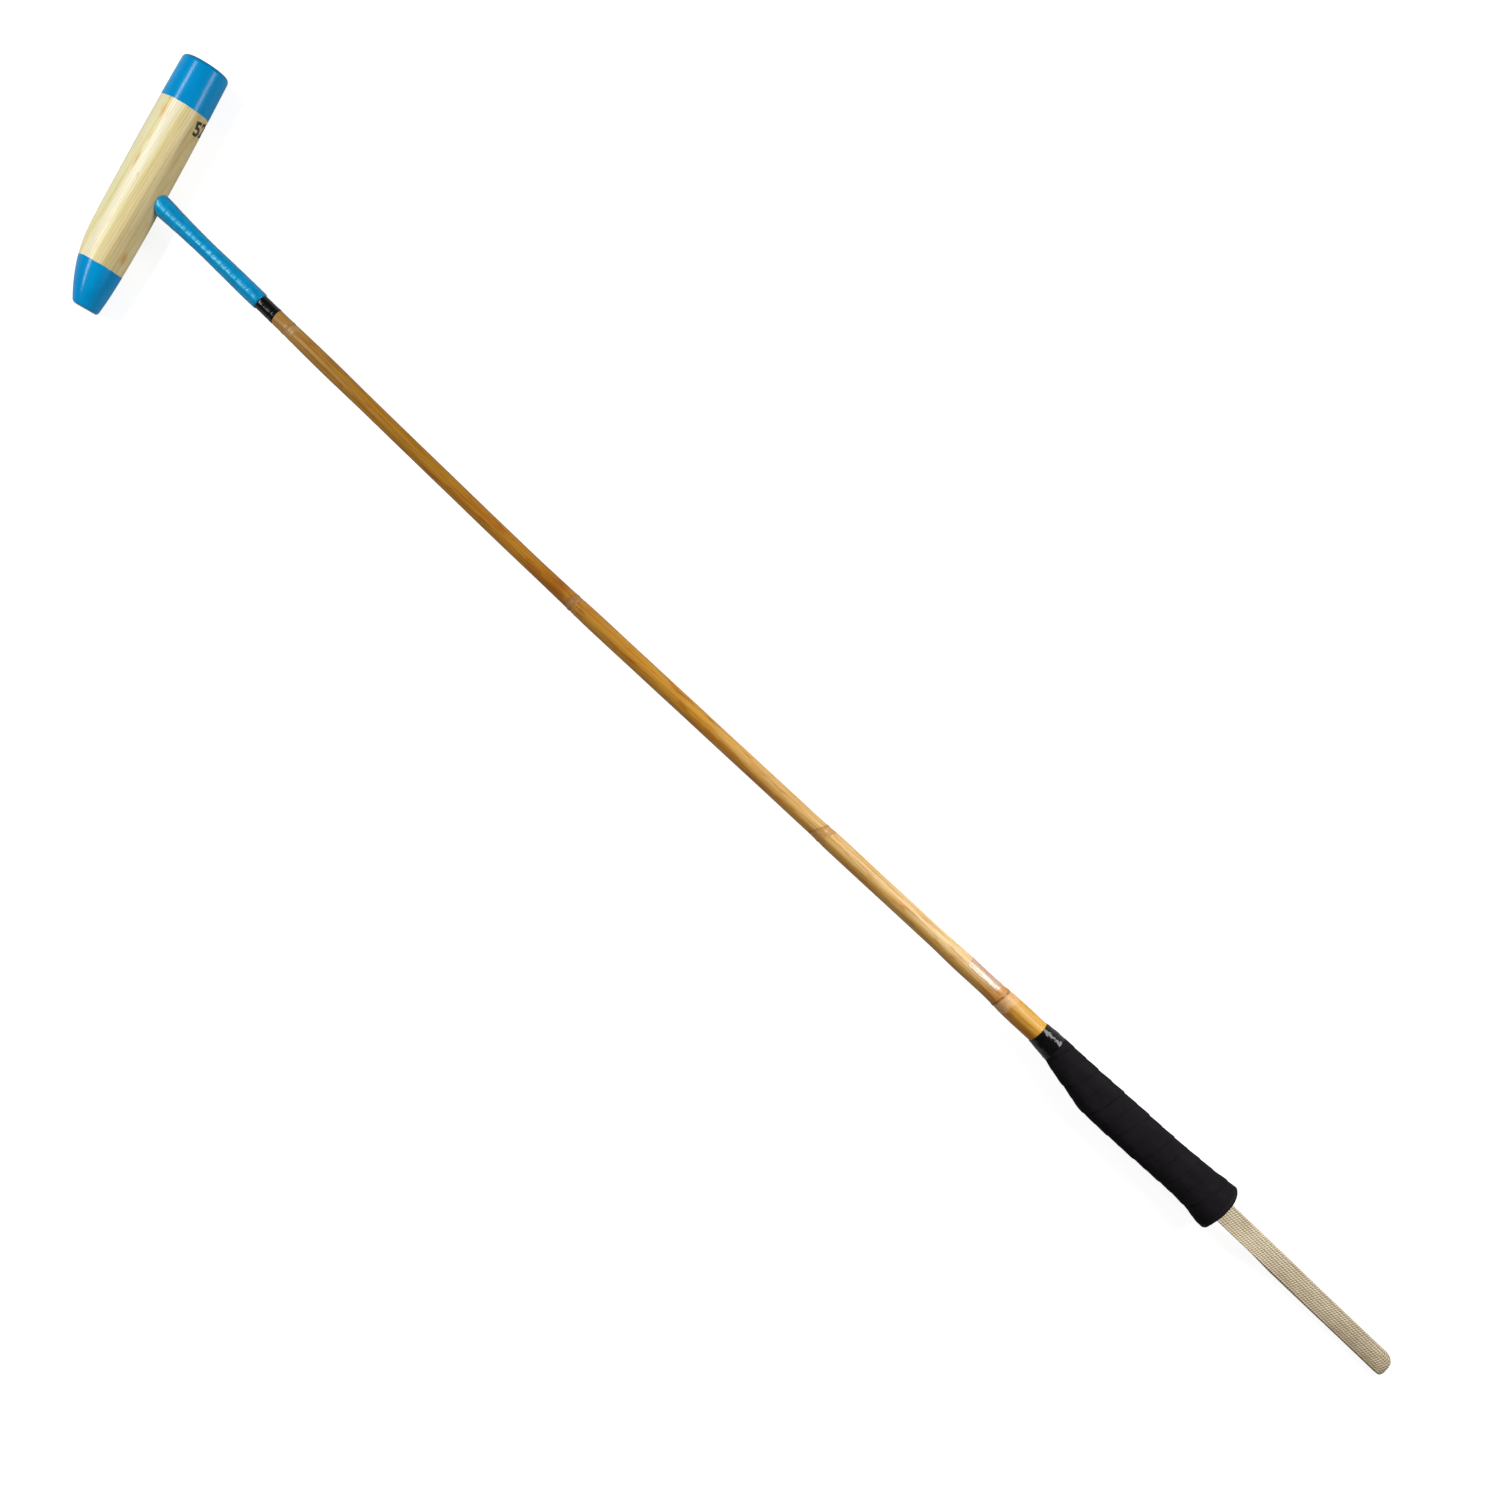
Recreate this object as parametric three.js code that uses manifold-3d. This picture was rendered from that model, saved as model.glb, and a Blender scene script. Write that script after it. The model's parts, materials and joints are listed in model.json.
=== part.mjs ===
// Polo mallet lying on its side, in millimetres, +Z up.
// +X runs along the cane from the head to the butt, and the toe of the head points towards -Y.
// Every piece is worked out on a straight cane first. The cane's slight bow and its fall from
// the thick head to the thinner grip are then given to all the pieces that it carries.
import * as THREE from "three";
import { mergeVertices } from "three/addons/utils/BufferGeometryUtils.js";
import Module from "manifold-3d";

const wasm = await Module();
wasm.setup();

// Driving dimensions of the whole mallet
const MALLET_LENGTH = 1321;
const CLEARANCE = 0.3;
const FILM_GAP = 0.15;
const CUT_OVERRUN = 2;

// Head
const HEAD_LENGTH = 236;
const HEAD_RADIUS = 22.75;
const HEAD_ANGLE = THREE.MathUtils.degToRad(75);
const HEAD_SIDES = 48;
const HEEL_FILLET = 4;
const TOE_FILLET = 2.6;
const SHAFT_HOLE_SHARE = 0.503;
const TOE_SWEEP_SHARE = 0.7;
const TOE_TIP_SHARE = 0.15;
const headRadiusShares = [
  [0, 0.945],
  [0.13, 0.972],
  [0.25, 0.99],
  [0.38, 1],
  [0.62, 1],
  [0.72, 0.984],
  [0.82, 0.955],
  [0.92, 0.9],
  [1, 0.82],
];
const headThicknessShares = [
  [0, 0.945],
  [0.13, 0.972],
  [0.25, 0.99],
  [0.38, 1],
  [0.62, 1],
  [0.72, 0.984],
  [0.8, 0.95],
  [0.88, 0.87],
  [0.95, 0.75],
  [1, 0.62],
];
const headRingShares = [
  0.06, 0.13, 0.2, 0.28, 0.38, 0.5, 0.62, 0.68, 0.72, 0.76, 0.8, 0.84, 0.88, 0.91, 0.94, 0.965,
];

// Cane
const CANE_DIAMETER = 20.4;
const CANE_NECK_DIAMETER = 12.6;
const CANE_SIDES = 20;
const NODE_RUN = 5;
const NODE_RING = 0.25;
// Share of the cane's length from the head, and share of its diameter in the grip.
const caneShares = [
  [0.1345, 0.682],
  [0.179, 0.745],
  [0.22, 0.706],
  [0.373, 0.706],
  [0.408, 0.735],
  [0.432, 0.794],
  [0.64, 0.794],
  [0.66, 0.86],
  [0.753, 0.853],
  [0.775, 0.907],
  [0.808, 0.912],
  [0.823, 1.014],
  [0.85, 1.024],
  [0.875, 1],
  [1, 1],
];
// The first of each pair is where a node lies, the second is how much its ring stands out.
const caneNodeShares = [
  [0.1407, 1],
  [0.4136, 1.6],
  [0.648, 1.4],
  [0.8148, 1.2],
];

// Wedge in the split end of the cane
const WEDGE_DEPTH = 30;
const WEDGE_THICK = 3;
const WEDGE_THIN = 0.9;

// Wound binding at the head, and the short black tape above it
const BINDING_REACH = 144.4;
const BINDING_DIAMETER = 15.6;
const BINDING_PITCH = 6;
const BINDING_RIDGE = 0.24;
const BINDING_LIP = 1.5;
const BINDING_SIDES = 16;
const RINGS_PER_TURN = 3;
const bindingShares = [
  [0, 1.28],
  [0.2, 1.18],
  [0.3, 1.08],
  [0.4, 1.02],
  [0.55, 0.97],
  [0.7, 1],
  [0.9, 1.03],
  [1, 1.03],
];
const NECK_TAPE_LENGTH = 15.7;
const NECK_TAPE_DIAMETER = 14;

// Clear label film below the grip
const LABEL_LENGTH = 34.2;
const LABEL_THICKNESS = 0.25;
const LABEL_TO_GRIP = 54.8;
const LABEL_EDGE_SHARE = 0.13;

// Grip: the outline is that of the finished grip, over the wound wrap.
const GRIP_LENGTH = 221;
const GRIP_WIDTH = 38.4;
const GRIP_SIDES = 28;
const GRIP_STEPS = 26;
const GRIP_SQUARENESS = 2.4;
const WRAP_THICKNESS = 1.6;
const WRAP_PITCH = 29.5;
const WRAP_RIDGE = 0.8;
const WRAP_RINGS_PER_TURN = 8;
const WRAP_EDGE_SHARE = 0.12;
const FINISH_TAPE_LENGTH = 21;
const FINISH_TAPE_THICKNESS = 0.5;
const FINISH_TAPE_LIP = 3.5;
const FINISH_TAPE_LEAD = 3.7;
const heelSideShares = [
  [0, 0.318],
  [0.17, 0.322],
  [0.31, 0.332],
  [0.45, 0.346],
  [0.64, 0.36],
  [0.735, 0.378],
  [0.83, 0.408],
  [0.877, 0.422],
  [0.925, 0.452],
  [0.965, 0.47],
  [1, 0.47],
];
const toeSideShares = [
  [0, 0.32],
  [0.075, 0.36],
  [0.122, 0.427],
  [0.169, 0.487],
  [0.216, 0.536],
  [0.263, 0.6],
  [0.311, 0.66],
  [0.358, 0.672],
  [0.5, 0.67],
  [0.64, 0.655],
  [0.735, 0.646],
  [0.85, 0.65],
  [0.9, 0.678],
  [0.94, 0.722],
  [0.965, 0.735],
  [1, 0.735],
];
const halfThicknessShares = [
  [0, 0.322],
  [0.1, 0.33],
  [0.2, 0.38],
  [0.31, 0.408],
  [0.45, 0.42],
  [0.64, 0.415],
  [0.75, 0.42],
  [0.83, 0.44],
  [0.877, 0.462],
  [0.925, 0.498],
  [0.965, 0.52],
  [1, 0.52],
];

// Wooden build-up on the cane, under the wrap
const BLOCK_START_SHARE = 0.09;
const CHEEK_START_SHARE = 0.2;
const BLOCK_PLANE_SHARE = 0.4;
const CHEEK_PLANE_SHARE = 0.76;

// Butt cap
const CAP_LENGTH = 35;
const CAP_RIM = 8;
const CAP_FILLET = 4.5;

// Wrist strap
const STRAP_WIDTH = 19;
const STRAP_THICKNESS = 1.8;
const STRAP_LAYER_GAP = 0.3;
const STRAP_REACH = 204.5;
const STRAP_LANDING = 95;
const STRAP_FOLD_RADIUS = 3.6;
const STRAP_ARCH = 1;
const STRAP_STANDOFF = 2.4;
const STRAP_SIDE_FALL = 5.1;
const TAIL_DEPTH = 25;
const PIN_DIAMETER = 2.4;
const PIN_LENGTH = 25;
const PIN_SIDES = 16;
const pinDepthShares = [0.36, 0.72];
const STRAP_RUN_STEPS = 20;
const STRAP_FOLD_STEPS = 8;
const STRAP_ROOT_STEPS = 3;

// The cane's bow: two nearly straight stretches that meet in a soft bend.
const BEND_SHARE = 0.36;
const BEND_SOFTNESS = 60;
const BOW_OFFSET = 4.6;
const SLOPE_TO_BEND = -0.008;
const SLOPE_FROM_BEND = 0.016;

// Places along the straight cane, from the crossing of the cane's and the head's axes
const BUTT_X = MALLET_LENGTH - HEAD_RADIUS / Math.sin(HEAD_ANGLE);
const GRIP_X = BUTT_X - GRIP_LENGTH;
const CAP_X = BUTT_X - CAP_LENGTH;
const RIM_X = BUTT_X - CAP_RIM;
const CANE_REACH = CAP_X - CLEARANCE;
const gripPlaces = spread(GRIP_X, BUTT_X, GRIP_STEPS);
const CANE_START = -HEAD_RADIUS / Math.sin(HEAD_ANGLE) - CUT_OVERRUN;
const NECK_TAPE_X = BINDING_REACH + CLEARANCE;
const NECK_END_X = NECK_TAPE_X + NECK_TAPE_LENGTH;
const HINGE_X = BUTT_X + STRAP_STANDOFF;
const STRAP_DOUBLE = 2 * STRAP_THICKNESS + STRAP_LAYER_GAP;

// Heights at which the round head and the oval rim both touch the ground with a flat facet
const FACET_COS = Math.cos(Math.PI / HEAD_SIDES);
const HEAD_HEIGHT = HEAD_RADIUS * FACET_COS;
const RIM_HALF = GRIP_WIDTH * shareAt(halfThicknessShares, 1);
const RIM_HEIGHT = RIM_HALF * Math.cos(Math.PI / GRIP_SIDES) ** (2 / GRIP_SQUARENESS);

// The value of a table of shares at t, on smooth curves through its points.
function shareAt(shares, t) {
  const last = shares.length - 1;
  if (t <= shares[0][0]) return shares[0][1];
  if (t >= shares[last][0]) return shares[last][1];
  let i = 0;
  while (t > shares[i + 1][0]) i += 1;
  const slope = (j) => (shares[j + 1][1] - shares[j][1]) / (shares[j + 1][0] - shares[j][0]);
  const here = slope(i);
  const before = i > 0 ? slope(i - 1) : here;
  const after = i < last - 1 ? slope(i + 1) : here;
  const start = before * here > 0 ? (before + here) / 2 : 0;
  const end = after * here > 0 ? (after + here) / 2 : 0;
  const span = shares[i + 1][0] - shares[i][0];
  const u = (t - shares[i][0]) / span;
  const rise = u * u * (3 - 2 * u);
  const leave = u * (1 - u) * (1 - u) * span * start;
  const arrive = u * u * (u - 1) * span * end;
  return shares[i][1] + rise * (shares[i + 1][1] - shares[i][1]) + leave + arrive;
}

// Sideways place of the cane's centre at x.
function bowAt(x) {
  const fromBend = x - BEND_SHARE * MALLET_LENGTH;
  const mean = (SLOPE_TO_BEND + SLOPE_FROM_BEND) / 2;
  const half = (SLOPE_FROM_BEND - SLOPE_TO_BEND) / 2;
  return mean * fromBend + half * Math.hypot(fromBend, BEND_SOFTNESS) - BOW_OFFSET;
}

// Height of the cane's centre at x.
function heightAt(x) {
  return HEAD_HEIGHT + ((RIM_HEIGHT - HEAD_HEIGHT) * x) / RIM_X;
}

// Evenly spaced values from start to end, with both ends.
function spread(start, end, steps) {
  return Array.from({ length: steps + 1 }, (_, i) => start + ((end - start) * i) / steps);
}

function toSolid(geometry) {
  const bare = geometry.clone();
  bare.deleteAttribute("normal");
  bare.deleteAttribute("uv");
  const merged = mergeVertices(bare);
  const mesh = new wasm.Mesh({
    numProp: 3,
    vertProperties: new Float32Array(merged.attributes.position.array),
    triVerts: new Uint32Array(merged.index.array),
  });
  return new wasm.Manifold(mesh);
}

function toGeometry(solid) {
  const mesh = solid.getMesh();
  const positions = new Float32Array(mesh.numVert * 3);
  for (let i = 0; i < mesh.numVert; i += 1) {
    const at = i * mesh.numProp;
    positions.set(mesh.vertProperties.subarray(at, at + 3), i * 3);
  }
  const geometry = new THREE.BufferGeometry();
  geometry.setAttribute("position", new THREE.BufferAttribute(positions, 3));
  geometry.setIndex(new THREE.BufferAttribute(new Uint32Array(mesh.triVerts), 1));
  return geometry;
}

// A closed solid through rings of [x, y, z] points, all with the same number of points.
function loft(rings) {
  const sides = rings[0].length;
  const points = rings.flat();
  const centre = (ring) => [0, 1, 2].map((k) => ring.reduce((sum, p) => sum + p[k], 0) / sides);
  const first = points.push(centre(rings[0])) - 1;
  const last = points.push(centre(rings[rings.length - 1])) - 1;
  const faces = [];
  for (let i = 0; i < rings.length - 1; i += 1) {
    for (let j = 0; j < sides; j += 1) {
      const next = (j + 1) % sides;
      const a = i * sides + j;
      const b = i * sides + next;
      faces.push(a, b, b + sides, a, b + sides, a + sides);
    }
  }
  const tail = (rings.length - 1) * sides;
  for (let j = 0; j < sides; j += 1) {
    const next = (j + 1) % sides;
    faces.push(first, next, j, last, tail + j, tail + next);
  }
  const geometry = new THREE.BufferGeometry();
  geometry.setAttribute("position", new THREE.BufferAttribute(new Float32Array(points.flat()), 3));
  geometry.setIndex(faces);
  return toSolid(geometry);
}

// Angles of a ring's points, placed so that a flat facet lies at the bottom.
function ringAngles(sides) {
  return Array.from({ length: sides }, (_, j) => ((j + 0.5) * 2 * Math.PI) / sides);
}

// A round solid about the cane's axis, with its radius at each x from a function of x and angle.
function roundSolid(stations, sides, radiusAt) {
  const angles = ringAngles(sides);
  return loft(
    stations.map((x) =>
      angles.map((angle) => {
        const radius = radiusAt(x, angle);
        return [x, radius * Math.cos(angle), radius * Math.sin(angle)];
      }),
    ),
  );
}

// A box between two corners.
function boxSolid(low, high) {
  const size = high.map((value, k) => value - low[k]);
  const geometry = new THREE.BoxGeometry(...size);
  geometry.translate(...low.map((value, k) => value + size[k] / 2));
  return toSolid(geometry);
}

// Gives a solid on the straight cane the cane's bow and height.
function settled(solid) {
  const geometry = toGeometry(solid);
  const position = geometry.attributes.position;
  for (let i = 0; i < position.count; i += 1) {
    const x = position.getX(i);
    position.setY(i, position.getY(i) + bowAt(x));
    position.setZ(i, position.getZ(i) + heightAt(x));
  }
  return toSolid(geometry);
}

// Head: ovals along its own axis, from the heel to the toe. spare makes it larger all over.
function headSolid(spare) {
  const toeRun = HEAD_LENGTH * (1 - TOE_SWEEP_SHARE);
  const sweepDepth = HEAD_RADIUS * (shareAt(headRadiusShares, TOE_SWEEP_SHARE) - TOE_TIP_SHARE);
  const section = (along) => {
    const share = along / HEAD_LENGTH;
    const shaftSide = HEAD_RADIUS * shareAt(headRadiusShares, share);
    const intoToe = Math.max(along - TOE_SWEEP_SHARE * HEAD_LENGTH, 0) / toeRun;
    const plain = HEAD_RADIUS * shareAt(headRadiusShares, Math.min(share, TOE_SWEEP_SHARE));
    const underside = intoToe > 0 ? plain - sweepDepth * intoToe ** 2 : plain;
    return {
      centre: (shaftSide - underside) / 2,
      half: (shaftSide + underside) / 2,
      thick: HEAD_RADIUS * shareAt(headThicknessShares, share),
    };
  };
  const places = headRingShares.map((share) => [share * HEAD_LENGTH, 0]);
  for (const turn of [0, 0.3, 0.6, 1]) {
    const angle = (turn * Math.PI) / 2;
    const back = 1 - Math.sin(angle);
    const inset = 1 - Math.cos(angle);
    places.push([HEEL_FILLET * inset, HEEL_FILLET * back]);
    places.push([HEAD_LENGTH - TOE_FILLET * inset, TOE_FILLET * back]);
  }
  places.sort((a, b) => a[0] - b[0]);
  const rings = places.map(([along, inset], i) => {
    const { centre, half, thick } = section(along);
    const out = i === 0 ? -spare : i === places.length - 1 ? spare : 0;
    return ringAngles(HEAD_SIDES).map((angle) => [
      along + out,
      centre + (half - inset + spare) * Math.cos(angle),
      (thick - inset + spare) * Math.sin(angle),
    ]);
  });
  const geometry = toGeometry(loft(rings));
  geometry.translate(-SHAFT_HOLE_SHARE * HEAD_LENGTH, 0, 0);
  geometry.rotateZ(-HEAD_ANGLE);
  geometry.translate(0, bowAt(0), HEAD_HEIGHT);
  return toSolid(geometry);
}

// Cane radius at x: dressed down in the head and under the binding, with a ring at each node.
function caneRadius(x) {
  if (x <= NECK_END_X) return CANE_NECK_DIAMETER / 2;
  let radius = (CANE_DIAMETER / 2) * shareAt(caneShares, x / CANE_REACH);
  for (const [share, size] of caneNodeShares) {
    const away = Math.abs(x - share * CANE_REACH) / NODE_RUN;
    if (away < 1) radius += NODE_RING * size * (1 - away) ** 2;
  }
  return radius;
}

// Stations that follow the cane's table, its nodes and the step at the end of the neck.
function caneStations() {
  const stations = [CANE_START, NECK_END_X, NECK_END_X + CLEARANCE, CANE_REACH];
  for (const [share] of caneShares) stations.push(share * CANE_REACH);
  for (const [share] of caneNodeShares) {
    for (const step of [-1, -0.4, 0, 0.4, 1]) stations.push(share * CANE_REACH + step * NODE_RUN);
  }
  for (const x of spread(0, CANE_REACH, 16)) stations.push(x);
  const sorted = stations.sort((a, b) => a - b);
  return sorted.filter((x, i) => i === 0 || x - sorted[i - 1] > CLEARANCE / 2);
}

function caneOutline(spare) {
  const stations = caneStations();
  stations[stations.length - 1] += spare > 0 ? CUT_OVERRUN : 0;
  return roundSolid(stations, CANE_SIDES, (x) => caneRadius(Math.min(x, CANE_REACH)) + spare);
}

// Wedge outline: thick at the underside of the head, thin inside, cut round by the cane.
function wedgeSolid(spare, spareRadius) {
  const thick = WEDGE_THICK / 2 + spare;
  const thin = WEDGE_THIN / 2 + spare;
  const reach = CANE_START + CUT_OVERRUN + WEDGE_DEPTH;
  const shape = new THREE.Shape();
  shape.moveTo(CANE_START, -thick);
  shape.lineTo(reach + spare, -thin);
  shape.lineTo(reach + spare, thin);
  shape.lineTo(CANE_START, thick);
  const depth = 2 * (CANE_NECK_DIAMETER + spare);
  const geometry = new THREE.ExtrudeGeometry(shape, { depth, bevelEnabled: false });
  geometry.translate(0, 0, -depth / 2);
  return toSolid(geometry).intersect(caneOutline(spareRadius));
}

// Binding: a sleeve whose surface follows the overlaps of the wound tape.
function bindingSolid() {
  const steps = Math.round((BINDING_REACH / BINDING_PITCH) * RINGS_PER_TURN);
  const radiusAt = (x, angle) => {
    const plain = (BINDING_DIAMETER / 2) * shareAt(bindingShares, x / BINDING_REACH);
    const turn = x / BINDING_PITCH + angle / (2 * Math.PI);
    const ridge = BINDING_RIDGE * (turn - Math.floor(turn) - 0.5);
    const lip = Math.max(x - (BINDING_REACH - BINDING_LIP), 0) / BINDING_LIP;
    return plain + ridge - (BINDING_LIP / 2) * lip ** 2;
  };
  const outer = roundSolid(spread(0, BINDING_REACH, steps), BINDING_SIDES, radiusAt);
  return settled(outer.subtract(caneOutline(CLEARANCE))).subtract(headSolid(CLEARANCE));
}

function neckTapeSolid() {
  const outer = roundSolid([NECK_TAPE_X, NECK_END_X], CANE_SIDES, () => NECK_TAPE_DIAMETER / 2);
  const bore = CANE_NECK_DIAMETER / 2 + CLEARANCE;
  const ends = [NECK_TAPE_X - CUT_OVERRUN, NECK_END_X + CUT_OVERRUN];
  return settled(outer.subtract(roundSolid(ends, CANE_SIDES, () => bore)));
}

// Label: a patch of a thin sleeve round the side of the cane that the heel is on.
function labelSolid() {
  const end = GRIP_X - LABEL_TO_GRIP;
  const sleeve = caneOutline(FILM_GAP + LABEL_THICKNESS).subtract(caneOutline(FILM_GAP));
  const keep = boxSolid(
    [end - LABEL_LENGTH, (LABEL_EDGE_SHARE * CANE_DIAMETER) / 2, -CANE_DIAMETER],
    [end, CANE_DIAMETER, CANE_DIAMETER],
  );
  return settled(sleeve.intersect(keep));
}

// The grip's outline at x as an oval, drawn in by inset.
function ovalRing(x, inset) {
  const share = (x - GRIP_X) / GRIP_LENGTH;
  const heelSide = GRIP_WIDTH * shareAt(heelSideShares, share) - inset;
  const toeSide = GRIP_WIDTH * shareAt(toeSideShares, share) - inset;
  const thick = GRIP_WIDTH * shareAt(halfThicknessShares, share) - inset;
  const square = Math.min(Math.max(share / CHEEK_START_SHARE, 0), 1);
  const power = 2 / (2 + (GRIP_SQUARENESS - 2) * square);
  return ringAngles(GRIP_SIDES).map((angle) => {
    const across = Math.sign(Math.cos(angle)) * Math.abs(Math.cos(angle)) ** power;
    const up = Math.sign(Math.sin(angle)) * Math.abs(Math.sin(angle)) ** power;
    return [(heelSide - toeSide) / 2 + ((heelSide + toeSide) / 2) * across, thick * up];
  });
}

// A ring of the grip on the flat facets between its places, so that all its layers fit each
// other. ridgeAt adds to the height of the surface at each angle.
function gripRing(x, inset, ridgeAt) {
  const step = GRIP_LENGTH / GRIP_STEPS;
  const i = Math.min(Math.max(Math.floor((x - GRIP_X) / step), 0), GRIP_STEPS - 1);
  const part = (x - gripPlaces[i]) / step;
  const before = ovalRing(gripPlaces[i], inset);
  const after = ovalRing(gripPlaces[i + 1], inset);
  const angles = ringAngles(GRIP_SIDES);
  return before.map((point, j) => {
    const y = point[0] + part * (after[j][0] - point[0]);
    const z = point[1] + part * (after[j][1] - point[1]);
    const ridge = ridgeAt ? ridgeAt(x, angles[j]) : 0;
    return [x, y + ridge * Math.cos(angles[j]), z + ridge * Math.sin(angles[j])];
  });
}

// A solid of the grip's outline from start to end, drawn in by inset.
function gripOutline(start, end, inset) {
  const between = gripPlaces.filter((x) => x > start + CLEARANCE / 2 && x < end - CLEARANCE / 2);
  return loft([start, ...between, end].map((x) => gripRing(x, inset)));
}

// Over-grip: each turn laps over the one before it, which leaves a ridge that winds along.
function gripWrapSolid() {
  const start = GRIP_X + FINISH_TAPE_LIP;
  const tapeEnd = GRIP_X + FINISH_TAPE_LENGTH;
  const ridgeAt = (x, angle) => {
    const turn = (x - GRIP_X) / WRAP_PITCH + angle / (2 * Math.PI);
    const part = turn - Math.floor(turn);
    const rise = part / (1 - WRAP_EDGE_SHARE);
    const edge = (1 - part) / WRAP_EDGE_SHARE;
    return WRAP_RIDGE * (Math.min(rise, edge) - 0.5);
  };
  const underTape = FINISH_TAPE_THICKNESS + CLEARANCE;
  const steps = Math.round(((RIM_X - tapeEnd) / WRAP_PITCH) * WRAP_RINGS_PER_TURN);
  const rings = spread(tapeEnd + CLEARANCE, RIM_X, steps).map((x) =>
    gripRing(x, WRAP_RIDGE / 2, ridgeAt),
  );
  const wound = loft([gripRing(tapeEnd, underTape), ...rings]);
  const bore = gripOutline(start - CUT_OVERRUN, RIM_X + CUT_OVERRUN, WRAP_THICKNESS);
  return settled(gripOutline(start, tapeEnd, underTape).add(wound).subtract(bore));
}

// Finishing tape: over the start of the wrap, with a short lead that tapers down onto the cane.
function gripNeckTapeSolid() {
  const start = GRIP_X + FINISH_TAPE_LIP - CLEARANCE;
  const end = GRIP_X + FINISH_TAPE_LENGTH;
  const overWrap = gripOutline(start, end + CUT_OVERRUN, FINISH_TAPE_THICKNESS);
  const leadX = GRIP_X - FINISH_TAPE_LEAD;
  const leadRadius = caneRadius(leadX) + CLEARANCE + FINISH_TAPE_THICKNESS;
  const leadRing = ringAngles(GRIP_SIDES).map((angle) => [
    leadX,
    leadRadius * Math.cos(angle),
    leadRadius * Math.sin(angle),
  ]);
  const lead = loft([leadRing, gripRing(GRIP_X, 0)]);
  const outer = lead.add(gripOutline(GRIP_X, end, 0));
  return settled(outer.subtract(overWrap).subtract(caneOutline(CLEARANCE)));
}

// Wooden build-up: the grip's oval less the wrap, from start to the cap, between two heights of Y.
function coreSolid(startShare, lowY, highY, lowZ, highZ) {
  const start = GRIP_X + startShare * GRIP_LENGTH;
  const oval = gripOutline(start, CANE_REACH, WRAP_THICKNESS + CLEARANCE);
  const keep = boxSolid([start - CUT_OVERRUN, lowY, lowZ], [CAP_X, highY, highZ]);
  return settled(oval.subtract(caneOutline(CLEARANCE)).intersect(keep));
}

function handleBlockSolid() {
  const plane = -(BLOCK_PLANE_SHARE * CANE_DIAMETER) / 2;
  return coreSolid(BLOCK_START_SHARE, -GRIP_WIDTH, plane, -GRIP_WIDTH, GRIP_WIDTH);
}

function cheekSolid(side) {
  const low = -(BLOCK_PLANE_SHARE * CANE_DIAMETER) / 2 + CLEARANCE;
  const high = (CHEEK_PLANE_SHARE * CANE_DIAMETER) / 2;
  const inner = CLEARANCE / 2;
  const lowZ = side > 0 ? inner : -GRIP_WIDTH;
  const highZ = side > 0 ? GRIP_WIDTH : -inner;
  return coreSolid(CHEEK_START_SHARE, low, high, lowZ, highZ);
}

// A pin across the strap's ends, with the given spare all round.
function pinSolid(depthShare, spare) {
  const radius = PIN_DIAMETER / 2 + spare;
  const length = spare > 0 ? 2 * GRIP_WIDTH : PIN_LENGTH;
  const geometry = new THREE.CylinderGeometry(radius, radius, length, PIN_SIDES);
  geometry.rotateX(Math.PI / 2);
  geometry.translate(BUTT_X - depthShare * TAIL_DEPTH, -STRAP_SIDE_FALL, 0);
  return toSolid(geometry);
}

function tailBox(spare) {
  const half = STRAP_WIDTH / 2 + spare;
  const thick = STRAP_DOUBLE / 2 + spare;
  const mouth = HINGE_X - STRAP_DOUBLE / 2 - CLEARANCE;
  return boxSolid(
    [BUTT_X - TAIL_DEPTH - spare, -STRAP_SIDE_FALL - half, -thick],
    [mouth + (spare > 0 ? CUT_OVERRUN : 0), -STRAP_SIDE_FALL + half, thick],
  );
}

// Butt cap: the core's oval under the wrap, then a rim that meets the end of the wrap.
function buttCapSolid() {
  const neck = gripOutline(CAP_X, RIM_X + CAP_RIM / 2, WRAP_THICKNESS + CLEARANCE);
  const rings = [gripRing(RIM_X + CLEARANCE, 0)];
  for (const turn of [0, 0.25, 0.5, 0.75, 1]) {
    const angle = (turn * Math.PI) / 2;
    const x = BUTT_X - CAP_FILLET * (1 - Math.sin(angle));
    rings.push(gripRing(x, CAP_FILLET * (1 - Math.cos(angle))));
  }
  let cap = neck.add(loft(rings)).subtract(tailBox(CLEARANCE));
  for (const share of pinDepthShares) cap = cap.subtract(pinSolid(share, CLEARANCE));
  return settled(cap);
}

function strapTailSolid() {
  let tail = tailBox(0);
  for (const share of pinDepthShares) tail = tail.subtract(pinSolid(share, CLEARANCE));
  return settled(tail);
}

// Heights of the lower and the upper run of the loop above the ground, at a distance from its root.
function runHeights(distance) {
  const root = heightAt(HINGE_X);
  const layer = (STRAP_THICKNESS + STRAP_LAYER_GAP) / 2;
  const fall = Math.min(distance / STRAP_LANDING, 1);
  const left = 1 - fall * fall * (3 - 2 * fall);
  const lower = STRAP_THICKNESS / 2;
  const upper = lower + 2 * STRAP_FOLD_RADIUS;
  const along = distance / (STRAP_REACH - STRAP_FOLD_RADIUS);
  const arch = STRAP_ARCH * Math.sin(Math.PI * Math.min(along, 1)) ** 2;
  return [lower + (root - layer - lower) * left, upper + (root + layer - upper) * left + arch];
}

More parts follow.
